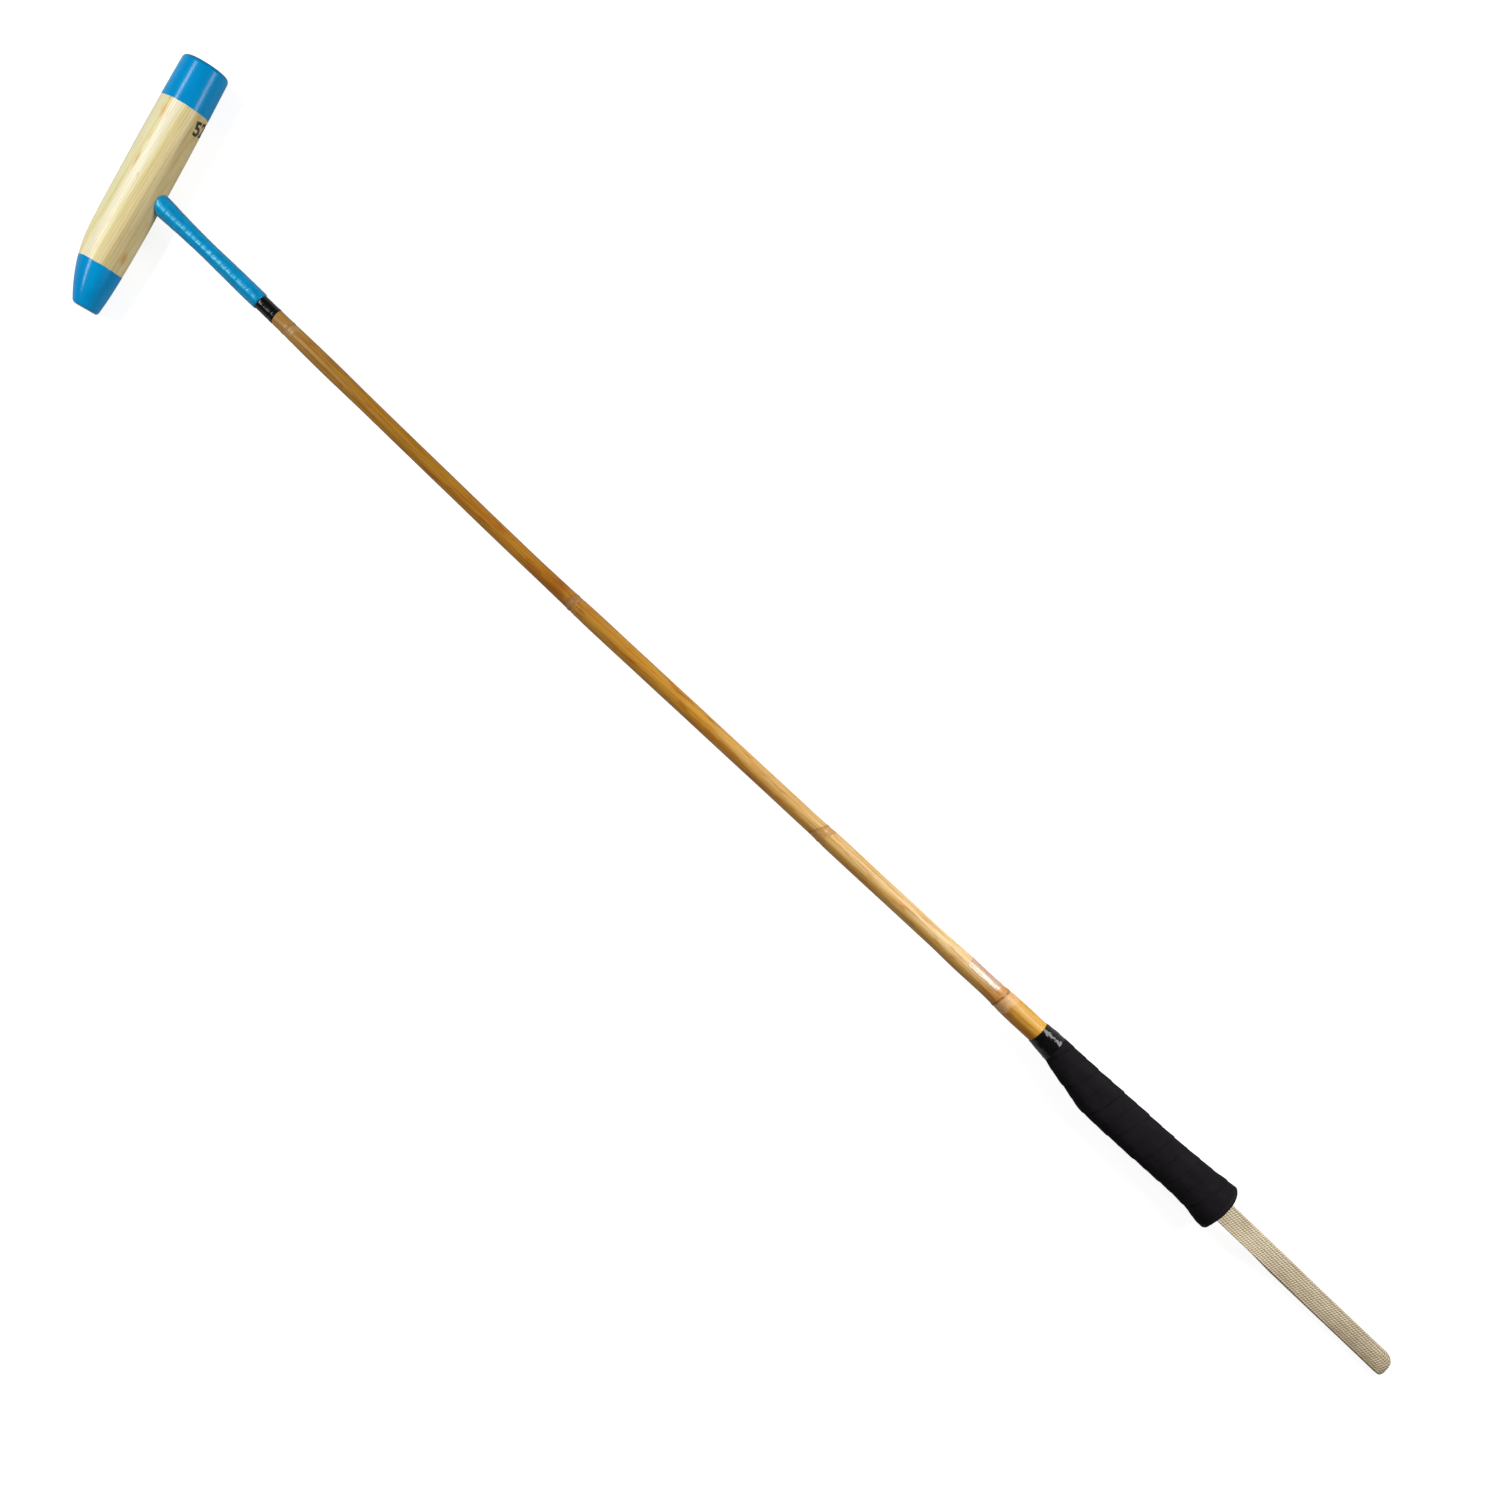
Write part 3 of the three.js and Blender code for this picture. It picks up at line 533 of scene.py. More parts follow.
# %% Cane outline
CANE_RADIUS = 10.2
RING = 0.25
NODE_SLANT = 0.9
LUMPS = 0.07
cane_shares = [
    (0.1345, 0.682), (0.179, 0.745), (0.22, 0.706), (0.373, 0.706), (0.408, 0.735),
    (0.432, 0.794), (0.64, 0.794), (0.66, 0.86), (0.753, 0.853), (0.775, 0.907),
    (0.808, 0.912), (0.823, 1.014), (0.85, 1.024), (0.875, 1), (1, 1),
]
# Where each node lies, how much its ring stands out, and to which side it slants.
cane_nodes = [(0.1407, 1, 0.4), (0.4136, 1.6, 2.1), (0.648, 1.4, 3.9), (0.8148, 1.2, 5.3)]
# The rings and grooves of one node: how far past it, the half width, and the height.
node_shape = [(0, 1.5, 1), (7.5, 1.1, 0.35), (2.6, 0.6, -0.7), (5.9, 0.5, -0.42)]


def cane_radius(along_cane, angle):
    """Radius of the cane: the table, a bell curve for each ring and groove, and slight lumps."""
    radius = CANE_RADIUS * curve(cane_shares, along_cane / CANE_REACH) + 0 * angle
    for share, size, side in cane_nodes:
        away = along_cane - share * CANE_REACH - NODE_SLANT * np.cos(angle - side)
        for past, width, rise in node_shape:
            radius = radius + RING * size * rise * np.exp(-(((away - past) / width) ** 2))
    lumps = LUMPS * ripple(tube(along_cane / 6, 3, angle), 9, 5)
    return np.where(along_cane <= NECK_TAPE_END, CANE_NECK_RADIUS, radius + lumps)


def trimmed(radius, angle, away):
    """Along the cane, where a tube of this radius meets the round of the head, away being -1
    below the head or 1 above it."""
    side, up = radius * np.cos(angle), radius * np.sin(angle)
    level = np.sqrt(np.maximum(HEAD_RADIUS**2 - up**2, 0))
    return (away * level - side * TO_TOE[0]) / TO_SHAFT[0]


print("cane", round(2 * CANE_RADIUS, 1), "mm thick at the handle")

# %% [markdown]
# The rings of the cane lie 3 mm apart, and much closer at the nodes and at the step of the
# neck. Seven rings close the lower end.

# %% Cane
CANE_SIDES = 72
CANE_STEP = 3.0
NODE_STEP = 0.55
NECK_EDGE = 0.05
LOW_END = -12
near_nodes = [share * CANE_REACH + np.arange(LOW_END, 16, NODE_STEP) for share, _, _ in cane_nodes]
neck_step = [NECK_TAPE_END - NECK_EDGE, NECK_TAPE_END + NECK_EDGE]
even = np.arange(LOW_END, CANE_REACH, CANE_STEP)
cane_x = column(np.unique(np.concatenate([even, neck_step, [CANE_REACH], *near_nodes]).round(3)))
cane_angle = around(CANE_SIDES)
end_r = CANE_NECK_RADIUS * column([0.25, 0.5, 0.75, 0.93, 1.0, 1.0, 1.0]) + 0 * cane_angle
end_x = trimmed(end_r, cane_angle, -1) + column([0, 0, 0, 0, 0.25, 2.0, 5.0])
cane_r = np.concatenate([end_r, cane_radius(cane_x, cane_angle)])
cane_x = np.concatenate([end_x, cane_x + 0 * cane_angle])
cane = skin("cane", settle(tube(cane_x, cane_r, cane_angle)))

# %% [markdown]
# The lower end of the cane is split, and a wedge driven into the split locks it in the head.
# The wedge is the CAD one. The split is cut out of the cane to fit it.

# %% Split for the wedge
WEDGE_START = -25.5
WEDGE_REACH = 6.6
SPLIT_HALF = 9.0
wedge_half = column([1.52, 0.47])
split = corners(column([WEDGE_START, WEDGE_REACH]), 0, wedge_half, 0, SPLIT_HALF)
cut(cane, skin("split", settle(split)))
cane_frame(cane)

# %% [markdown]
# Tape is wound round the cane from the head up, under a coat of clear gloss. Each turn laps the
# one before it, which leaves a low step that winds along. The gloss rounds the steps off. The
# binding is fattest at the head, where extra turns fill the corner, and its foot follows the
# round of the head.

# %% Neck binding
BINDING_RADIUS = 7.8
BINDING_PITCH = 6.0
BINDING_STEP = 0.08
BINDING_END = NECK_TAPE_START - 0.25
FOOT_GAP = 0.4
NECK_INNER = CANE_NECK_RADIUS + 0.1
binding_shares = [
    (0, 1.28), (0.2, 1.18), (0.3, 1.08), (0.4, 1.02), (0.55, 0.97), (0.7, 1), (0.9, 1.03), (1, 1.03),
]


def lap(turn, drop):
    """Height of a lapped winding from -0.5 to 0.5 over one turn: a slow rise, then a fall over
    the last part, whose share of the turn is drop."""
    part = turn - np.floor(turn)
    return np.minimum(part / (1 - drop), (1 - part) / drop) - 0.5


def wound(x, angle, pitch, drop):
    """The laps of a tape that goes round once in each pitch."""
    return lap(x / pitch + angle / (2 * np.pi), drop)


def sleeve(name, outer_x, outer_r, inner_x, angle):
    """A sleeve on the neck of the cane: the outer rows in order, and the inner rows back."""
    x = np.concatenate([outer_x, inner_x])
    r = np.concatenate([outer_r, np.full(inner_x.shape, NECK_INNER)])
    made = skin(name, settle(tube(x, r, angle)), True)
    cane_frame(made)
    return made


binding_angle = around(96)
foot = trimmed(BINDING_RADIUS * 1.2, binding_angle, 1) - FOOT_GAP
binding_x = foot + (BINDING_END - foot) * column(np.linspace(0, 1, 300))
binding_spot = tube(binding_x, 8, binding_angle)
binding_r = BINDING_RADIUS * curve(binding_shares, binding_x / BINDING_END)
binding_r = binding_r + BINDING_STEP * wound(binding_x, binding_angle, BINDING_PITCH, 0.22)
binding_r = binding_r + 0.06 * ripple(binding_spot, 5, 31) + 0.07 * ripple(binding_spot, 16, 37)
# Both edges are pressed down, with a soft round.
binding_r = binding_r - 1.2 * np.exp(-(binding_x - foot) / 0.8)
binding_r = binding_r - 0.9 * np.exp(-(BINDING_END - binding_x) / 0.5)
binding_back = np.stack([BINDING_END + 0 * binding_angle, 60 + 0 * binding_angle, foot])
neck_binding = sleeve("binding", binding_x, binding_r, binding_back, binding_angle)

# %% [markdown]
# A short length of glossy black tape covers the top of the binding. It is wound twice, so it
# has one faint step and a slightly slanted edge.

# %% Neck tape
NECK_TAPE_RADIUS = 7.0
NECK_TAPE_PITCH = 9.0
TAPE_OVER_CANE = 3.3
TAPE_SLANT = 0.7
TAPE_THICKNESS = 0.22
tape_angle = around(80)
tape_s = column(np.linspace(0, 1, 60))
tape_end = NECK_TAPE_END + TAPE_OVER_CANE - TAPE_SLANT * np.cos(tape_angle)
tape_x = NECK_TAPE_START + (tape_end - NECK_TAPE_START) * tape_s
tape_r = NECK_TAPE_RADIUS + 0.1 * wound(tape_x, tape_angle, NECK_TAPE_PITCH, 0.1)
tape_r = tape_r + 0.05 * ripple(tube(tape_x, 7, tape_angle), 7, 7) - 0.35 * np.exp(-tape_s * 40)
on_cane = np.maximum(tape_r, cane_radius(tape_x, tape_angle) + TAPE_THICKNESS)
tape_r = np.where(tape_x > NECK_TAPE_END - 0.5, on_cane, tape_r)
tape_r = tape_r - 0.15 * np.exp(-(1 - tape_s) * 60)
neck_tape = sleeve("black_tape", tape_x, tape_r, tape_x[[-1, 0]], tape_angle)

# %% [markdown]
# A patch of clear film is stuck round one side of the cane below the grip. It is blank here. It
# is a thin curved plate with rounded corners, a little proud of the cane.

# %% Label film
FILM = 0.22
FILM_GAP = 0.06
LABEL_REACH = np.radians(81)
CORNER_FROM = 0.82
CORNER_DRAWN = 0.05
label_u = column(np.linspace(-1, 1, 70))
label_v = np.linspace(-1, 1, 60)
label_middle = (LABEL_START + LABEL_END) / 2
label_half = (LABEL_END - LABEL_START) / 2


def label_rows(gap):
    """A grid over the patch. Its corners are rounded by drawing in the ends of each row."""
    past = np.clip(np.abs(label_v) - CORNER_FROM, 0, 1) / (1 - CORNER_FROM)
    x = label_middle + label_half * label_u * (1 - CORNER_DRAWN * past**2)
    angle = -LABEL_REACH * label_v + 0 * label_u
    return settle(tube(x, cane_radius(x, angle) + gap, angle))


label_rings = np.concatenate([label_rows(FILM_GAP + FILM)[:, ::-1], label_rows(FILM_GAP)], axis=1)
label = skin("label", label_rings)
cane_frame(label)

# %% [markdown]
# The handle is an oval that grows out of the cane: flat on the heel side, with a slanted
# shoulder on the toe side and a flare at the butt. Three tables give its reach to each side
# and its half thickness, and its section is a slightly squared oval. Everything on the handle
# is this outline, drawn in or out.

# %% Handle outline
GRIP_WIDTH = 38.4
SQUARENESS = 2.4
SQUARE_FROM = 0.2
heel_side_shares = [
    (0, 0.318), (0.17, 0.322), (0.31, 0.332), (0.45, 0.346), (0.64, 0.36), (0.735, 0.378),
    (0.83, 0.408), (0.877, 0.422), (0.925, 0.452), (0.965, 0.47), (1, 0.47),
]
toe_side_shares = [
    (0, 0.32), (0.075, 0.36), (0.122, 0.427), (0.169, 0.487), (0.216, 0.536), (0.263, 0.6),
    (0.311, 0.66), (0.358, 0.672), (0.5, 0.67), (0.64, 0.655), (0.735, 0.646), (0.85, 0.65),
    (0.9, 0.678), (0.94, 0.722), (0.965, 0.735), (1, 0.735),
]
half_thickness_shares = [
    (0, 0.322), (0.1, 0.33), (0.2, 0.38), (0.31, 0.408), (0.45, 0.42), (0.64, 0.415),
    (0.75, 0.42), (0.83, 0.44), (0.877, 0.462), (0.925, 0.498), (0.965, 0.52), (1, 0.52),
]


def handle_points(x, inset, angle, ridge=0.0, fill=1.0):
    """Points of the handle's oval at x on the straight cane. Cosine and sine are raised to a
    power below 1, which squares the oval. inset draws it in, ridge moves points outwards."""
    share = (x - GRIP_START) / GRIP_LENGTH
    reaches = (heel_side_shares, toe_side_shares, half_thickness_shares)
    heel_reach, toe_reach, thick = [GRIP_WIDTH * curve(table, share) - inset for table in reaches]
    power = 2 / (2 + (SQUARENESS - 2) * np.clip(share / SQUARE_FROM, 0, 1))
    wide = np.sign(np.cos(angle)) * np.abs(np.cos(angle)) ** power
    tall = np.sign(np.sin(angle)) * np.abs(np.sin(angle)) ** power
    side = (heel_reach - toe_reach) / 2 + (heel_reach + toe_reach) / 2 * wide * fill
    return as_points(x, side + ridge * np.cos(angle), thick * tall * fill + ridge * np.sin(angle))


print("handle", round(GRIP_LENGTH, 1), "mm long,", GRIP_WIDTH, "mm wide")

# %% [markdown]
# The over-grip is a padded strip wound up the handle. The edge of each turn lies on the next
# as a soft step, and stretching the strip puts a fainter crease between the steps. Small dents
# keep it from looking machined. The strip stays matt.

# %% Over-grip
WRAP_PITCH = 29.5
WRAP_STEP = 0.6
WRAP_THICKNESS = 1.6
WRAP_DEPTH = 0.4
WRAP_LEAST_DEPTH = 0.1
CREASE_DEPTH = 0.3
TAPE_SHOWN_END = FINISH_TAPE_END - 3.6
wrap_start = TAPE_SHOWN_END - 1.5


def crease(turn, at, width):
    """A soft line once in each turn: 1 on the line, 0 away from it."""
    away = turn - at - np.round(turn - at)
    return np.exp(-((away / width) ** 2))


wrap_angle = around(150)
wrap_x = column(np.linspace(wrap_start, GRIP_END, 330)) + 0 * wrap_angle
wrap_spot = handle_points(wrap_x, 0, wrap_angle)
wrap_turn = (wrap_x - GRIP_START) / WRAP_PITCH + wrap_angle / (2 * np.pi)
wrap_turn = wrap_turn + 0.03 * ripple(wrap_spot, 34, 3)
pulled = np.clip(0.3 + 0.9 * ripple(wrap_spot, 13, 17), 0, 1)
slack = np.clip(0.15 + 0.9 * ripple(wrap_spot, 13, 19), 0, 1)
line = np.maximum(pulled * crease(wrap_turn, 0.0, 0.022), slack * crease(wrap_turn, 0.5, 0.02))
wrap_ridge = 0.5 * WRAP_STEP * (lap(wrap_turn, 0.06) + lap(2 * wrap_turn, 0.12)) - WRAP_DEPTH
wrap_ridge = wrap_ridge - CREASE_DEPTH * line
wrap_ridge = wrap_ridge + 0.12 * ripple(wrap_spot, 11, 41) + 0.12 * ripple(wrap_spot, 30, 43)
wrap_ridge = np.minimum(wrap_ridge, -WRAP_LEAST_DEPTH)
wrap_ridge = wrap_ridge - 1.0 * (1 - fade(wrap_x, wrap_start, wrap_start + 2.4))
wrap_outer = handle_points(wrap_x, 0, wrap_angle, wrap_ridge)
wrap_in_x = column(np.linspace(GRIP_END, wrap_start, 50)) + 0 * wrap_angle
wrap_rings = np.concatenate([wrap_outer, handle_points(wrap_in_x, WRAP_THICKNESS, wrap_angle)])
# Painted shade in the creases, carried to the finish as an attribute.
crease_shade = np.concatenate([line, 0 * wrap_in_x])
over_grip = skin("over_grip", settle(wrap_rings), True, crease=crease_shade)
cane_frame(over_grip)

# %% [markdown]
# Glossy black tape holds the start of the strip to the cane. It is pulled tight over a step,
# so it puckers: short folds run along it and catch the light.

# %% Finishing tape
FINISH_PITCH = 11.0
FINISH_LAP = 0.25
FINISH_DEPTH = 0.32
finish_angle = around(120)
finish_s = column(np.linspace(0, 1, 90))
finish_from = FINISH_TAPE_START + 0.5 * (1 + np.cos(finish_angle - 0.3))
finish_x = finish_from + (TAPE_SHOWN_END - finish_from) * finish_s
finish_spot = handle_points(finish_x, 0, finish_angle)
pucker = 0.2 * ripple(finish_spot * np.array([0.6, 1, 1]), 4.5, 61) + 0.1 * ripple(finish_spot, 2.6, 67)
finish_lap = FINISH_LAP * wound(finish_x, finish_angle, FINISH_PITCH, 0.12)
finish_ridge = (pucker + finish_lap) * fade(finish_s, 0, 0.3) - FINISH_DEPTH
# The first turns lie down on the cane, and the last edge is pressed into the strip.
finish_ridge = finish_ridge - 1.1 * np.exp(-(finish_x - finish_from) / 6.5)
finish_ridge = finish_ridge - 0.35 * np.exp(-(1 - finish_s) * 60)
finish_outer = handle_points(finish_x, 0, finish_angle, finish_ridge)
finish_inner = handle_points(finish_x[[-1, 0]], column([1.2, 1.7]), finish_angle)
finishing_tape = skin("finishing_tape", settle(np.concatenate([finish_outer, finish_inner])), True)
cane_frame(finishing_tape)

# %% [markdown]
# The butt is a rubber cap. Its rim carries on the line of the wrap and rolls over in a soft
# round. The strap leaves through a slot in its end face.

# %% Butt cap
CAP_FILLET = 4.5
CAP_FACE = 0.2
# How far the end is set back at each place from the toe side to the heel side.
cap_setback = [
    (-28, 1.8), (-25.7, 1.9), (-22.5, 2.6), (-18.2, 2.7), (-12.8, 2.3), (-7.4, 2.0), (0, 1.9),
    (5.6, 1.9), (9.9, 2.3), (14.3, 3.1), (18, 5.2),
]
cap_angle = around(150)
rim_start = GRIP_END + 0.12
round_place, round_inset = quarter_round(CAP_FILLET, 14)
cap_x, cap_inset, cap_fill = rows(
    len(cap_angle), (column(np.linspace(CAP_START, rim_start, 8)), WRAP_THICKNESS + 0.3, 1),
    (rim_start + 0.05, 0.25, 1), (rim_start + 3, 0, 1),
    (BUTT - round_place[::-1], round_inset[::-1], 1), (BUTT, CAP_FILLET, column([0.8, 0.6, 0.4, 0.2])),
)
cap_points = handle_points(cap_x, cap_inset + CAP_FACE, cap_angle, 0.0, cap_fill)
set_back = curve(cap_setback, cap_points[..., 1])
cap_points[..., 0] -= set_back * fade(cap_points[..., 0], rim_start + 1, BUTT)
butt_cap = skin("butt_end", settle(cap_points))

# %% [markdown]
# The slot is as wide and as thick as the two ends of the webbing, with a little room.

# %% Slot in the cap
SLOT_SIDE_SPARE = 0.35
SLOT_UP_SPARE = 0.3
STRAP_LOW, STRAP_HIGH = [np.array(corner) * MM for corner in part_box("strap_tail")]
tail_middle = (STRAP_LOW + STRAP_HIGH) / 2
tail_half = (STRAP_HIGH - STRAP_LOW) / 2
slot_x = column([STRAP_LOW[0] - 1, hinge[0] + 4])
slot = corners(slot_x, tail_middle[1], tail_half[1] + SLOT_SIDE_SPARE,
               tail_middle[2], tail_half[2] + SLOT_UP_SPARE)
cut(butt_cap, skin("slot", slot))
cane_frame(butt_cap)

# %% [markdown]
# The wrist strap is one length of cotton webbing. Both ends are pinned in the slot, one on the
# other, and the loop lies almost flat: out along the ground, round a fold, and back above
# itself. The band is a profile carried along that path.

# %% Strap path
STRAP_THICKNESS = 1.8
STRAP_LAYER = 1.05
STRAP_LANDING = 95.0
FOLD_RADIUS = 3.6
STRAP_ARCH = 1.0
GROUND_GAP = 0.06
STRAP_STEP = 0.57
strap_half = STRAP_THICKNESS / 2
lower_rest = strap_half + GROUND_GAP
tail_depth = HINGE - (STRAP_LOW[0] - cross[0])
fold_at = STRAP_REACH - FOLD_RADIUS - strap_half


def run_height(away, upper):
    """Height of a run above the ground: it falls from the root to the ground in a soft S, and
    the upper run also arches a little between its ends."""
    left = 1 - fade(away, 0, STRAP_LANDING)
    if not upper:
        return lower_rest + (hinge[2] - STRAP_LAYER - lower_rest) * left
    rest = lower_rest + 2 * FOLD_RADIUS
    arch = STRAP_ARCH * np.sin(np.pi * np.clip(away / (STRAP_REACH - FOLD_RADIUS), 0, 1)) ** 2
    return rest + (hinge[2] + STRAP_LAYER - rest) * left + arch


out = np.linspace(-tail_depth, fold_at, 900)
fold = np.linspace(-np.pi / 2, np.pi / 2, 60)[1:-1]
path_x = np.concatenate([out, fold_at + FOLD_RADIUS * np.cos(fold), out[::-1]])
path_z = np.concatenate([run_height(out, False), lower_rest + FOLD_RADIUS + FOLD_RADIUS * np.sin(fold),
                         run_height(out[::-1], True)])
path_length = np.concatenate([[0], np.cumsum(np.hypot(np.diff(path_x), np.diff(path_z)))])
STRAP_LENGTH = path_length[-1]
strap_at = np.arange(0, STRAP_LENGTH, STRAP_STEP)
band_x = np.interp(strap_at, path_length, path_x)
band_z = np.interp(strap_at, path_length, path_z)
print("strap", round(STRAP_LENGTH, 1), "mm of webbing")

# %% [markdown]
# The relief of the band is woven in: lengthwise ribs, each made of slanted floats. Its profile
# runs over the top face, round one edge, back under the lower face and round the other edge.

# %% Strap profile and weave
STRAP_WIDTH = 19.4
RIBS = 8
RIB_RELIEF = 0.36
FLOAT_LENGTH = 2.3
FACE_POINTS = 55
flat_half = STRAP_WIDTH / 2 - strap_half
face_y = np.linspace(flat_half, -flat_half, FACE_POINTS)
edge_turn = np.linspace(np.pi / 2, -np.pi / 2, 7)[1:-1]
far_edge = -flat_half - strap_half * np.cos(edge_turn)
profile_y = np.concatenate([face_y, far_edge, face_y[::-1], -far_edge[::-1]])
profile_b = np.concatenate([0 * face_y + strap_half, strap_half * np.sin(edge_turn),
                            0 * face_y - strap_half, strap_half * np.sin(edge_turn[::-1])])


def weave(at, across):
    """Height of the weave from 0 to 1: lengthwise ribs, each a row of slanted floats."""
    rib = (across / STRAP_WIDTH + 0.5) * RIBS
    part = rib - np.floor(rib)
    ridge = np.sin(np.pi * part) ** 0.7
    phase = at / FLOAT_LENGTH + 0.5 * np.floor(rib) + 0.55 * part
    return ridge * (0.55 + 0.45 * np.cos(2 * np.pi * phase))


band_at = column(strap_at)
woven = weave(band_at, profile_y) + 0 * band_at
on_face = np.clip((flat_half + 0.3 - np.abs(profile_y)) / 0.5, 0.25, 1)
woven_b = profile_b - np.sign(profile_b) * RIB_RELIEF * on_face * (1 - woven)
print("weave", woven.shape, "points")

# %% [markdown]
# The fold is not square to the band, so one corner of the tip is cut back. The upper run leans
# to one side past its landing, and the lower run lies a little askew.

# %% Strap band
ASKEW = -0.9
WAVE = 0.35
tip_cut = [(-9.7, 2.2), (-7, 0.5), (-3.5, 0), (2, 0.3), (5.4, 1.7), (7.5, 3.9), (8.9, 6.4), (9.7, 8.6)]
strap_lean = [
    (0, 0), (22, -0.03), (50, -0.02), (85, 0.13), (150, 0.12), (fold_at - 22, 0.09), (fold_at - 2, 0),
]
away = column(band_x)
slope_x = np.gradient(band_x, strap_at)
slope_z = np.gradient(band_z, strap_at)
inward = np.stack([-slope_z, slope_x], -1) / column(np.hypot(slope_x, slope_z))
upper_run = fade(band_at, STRAP_LENGTH / 2 - 6, STRAP_LENGTH / 2 + 6)
drawn_in = curve(tip_cut, profile_y) * fade(away, fold_at - 34, fold_at + 2)
wave = WAVE * np.sin(band_at / 31 + 1) * fade(away, 10, 60) * fade(away, 0, 30)
lean = upper_run * curve(strap_lean, away)
askew = ASKEW * (1 - upper_run) * fade(away, 40, 75)
strap_x = hinge[0] + away + woven_b * inward[:, :1] - drawn_in
strap_y = tail_middle[1] + profile_y + wave * 0.5 + askew
strap_z = column(band_z) + woven_b * inward[:, 1:] + lean * profile_y
strap_own = as_points(band_at, profile_y, woven_b)
wrist_strap = skin("strap_band", as_points(strap_x, strap_y, strap_z), own=strap_own, woven=woven)

# %% [markdown]
# Materials are node graphs, and short helpers keep them readable. A colour is written as it is
# seen on a screen, from 0 to 255, and turned into the linear light that the shader works with.

# %% Material helpers
NO_SHIFT = (0, 0, 0)


def seen(red, green, blue):
    """A screen colour from 0 to 255 as linear light, by the usual screen curve."""
    value = np.array([red, green, blue]) / 255
    linear = np.where(value <= 0.04045, value / 12.92, ((value + 0.055) / 1.055) ** 2.4)
    return (*linear.tolist(), 1.0)


def add(tree, kind, inputs=None, **settings):
    """Adds a node. An input is filled with a value, or linked where it is given a socket."""
    made = tree.nodes.new("ShaderNode" + kind)
    for key, value in settings.items():
        setattr(made, key, value)
    for key, value in (inputs or {}).items():
        if isinstance(value, bpy.types.NodeSocket):
            tree.links.new(value, made.inputs[key])
        else:
            made.inputs[key].default_value = value
    return made


def new_finish(name, **sockets):
    """A material and its node tree. Plain sockets of its shader are set by name."""
    material = bpy.data.materials.new(name)
    material.use_nodes = True
    tree = material.node_tree
    for key, value in sockets.items():
        tree.nodes["Principled BSDF"].inputs[key.replace("_", " ")].default_value = value
    print("finish", name)
    return material, tree


def coat(tree, colour, value=None, height=0.0):
    """Puts a colour on the shader, and fine relief whose height is in mm."""
    shader = tree.nodes["Principled BSDF"]
    tree.links.new(colour, shader.inputs["Base Color"])
    if value is not None:
        inputs = {"Height": value, "Distance": height / MM, "Strength": 1.0}
        tree.links.new(add(tree, "Bump", inputs).outputs[0], shader.inputs["Normal"])


def own_axes(tree):
    """The three parts of a point's own place, in mm."""
    place = add(tree, "Attribute", attribute_name="own")
    return add(tree, "SeparateXYZ", {0: place.outputs["Vector"]}).outputs


def own_place(tree, sizes, shift=NO_SHIFT):
    """A point's own place, divided by a size in mm in each direction, and shifted."""
    place = add(tree, "Attribute", attribute_name="own").outputs["Vector"]
    scale = tuple(1 / size for size in sizes)
    return add(tree, "Mapping", {"Vector": place, "Location": shift, "Scale": scale}).outputs[0]


def noise(tree, sizes, detail, shift=NO_SHIFT):
    """Soft random values on the own place, with a grain size in mm in each direction."""
    inputs = {"Vector": own_place(tree, sizes, shift), "Scale": 1.0, "Detail": detail}
    return add(tree, "TexNoise", inputs).outputs[0]


def steps(tree, factor, low, high, start=0, end=1):
    """Carries a factor between low and high over to a value between start and end."""
    inputs = {0: factor, 1: low, 2: high, 3: start, 4: end}
    return add(tree, "MapRange", inputs, clamp=True).outputs[0]


def patches(tree, sizes, detail, low, high, start=0, end=1, shift=NO_SHIFT):
    """Soft random values, carried over in the same way."""
    return steps(tree, noise(tree, sizes, detail, shift), low, high, start, end)


def maths(tree, operation, first, second=0.0):
    """One sum or product of two values."""
    return add(tree, "Math", {0: first, 1: second}, operation=operation).outputs[0]


def length(tree, vector):
    """The length of a vector."""
    return add(tree, "VectorMath", {0: vector}, operation="LENGTH").outputs["Value"]


print("helpers for the finishes are ready")

# %% [markdown]
# Three more helpers work with colours: a row of colours over a value, one colour laid over
# another, and a list of layers laid one after the other.

# %% Colour helpers


def ramp(tree, factor, *stops):
    """A row of colours over a factor, from pairs of place and screen colour. A single number
    stands for a grey with that much light."""
    made = add(tree, "ValToRGB", {"Fac": factor})
    elements = made.color_ramp.elements
    for place, colour in stops[2:]:
        elements.new(place)
    for element, (place, colour) in zip(elements, stops):
        element.position = place
        element.color = seen(*colour) if isinstance(colour, tuple) else (colour, colour, colour, 1.0)
    return made.outputs[0]


def paint(tree, factor, under, over, mode="MIX"):
    """Lays a screen colour over the colour under it, by a factor."""
    inputs = {0: factor, 6: under, 7: seen(*over)}
    return add(tree, "Mix", inputs, data_type="RGBA", blend_type=mode).outputs[2]


def layered(tree, colour, *layers):
    """Lays soft patches over a colour, one after another. A layer gives the grain size, detail
    and shift of its noise, the values of the noise where it begins and is full, how strong it
    is, its colour, and how it mixes."""
    for sizes, detail, shift, low, high, strength, over, mode in layers:
        factor = patches(tree, sizes, detail, low, high, 0, strength, shift)
        colour = paint(tree, factor, colour, over, mode)
    return colour


print("white is", seen(255, 255, 255))
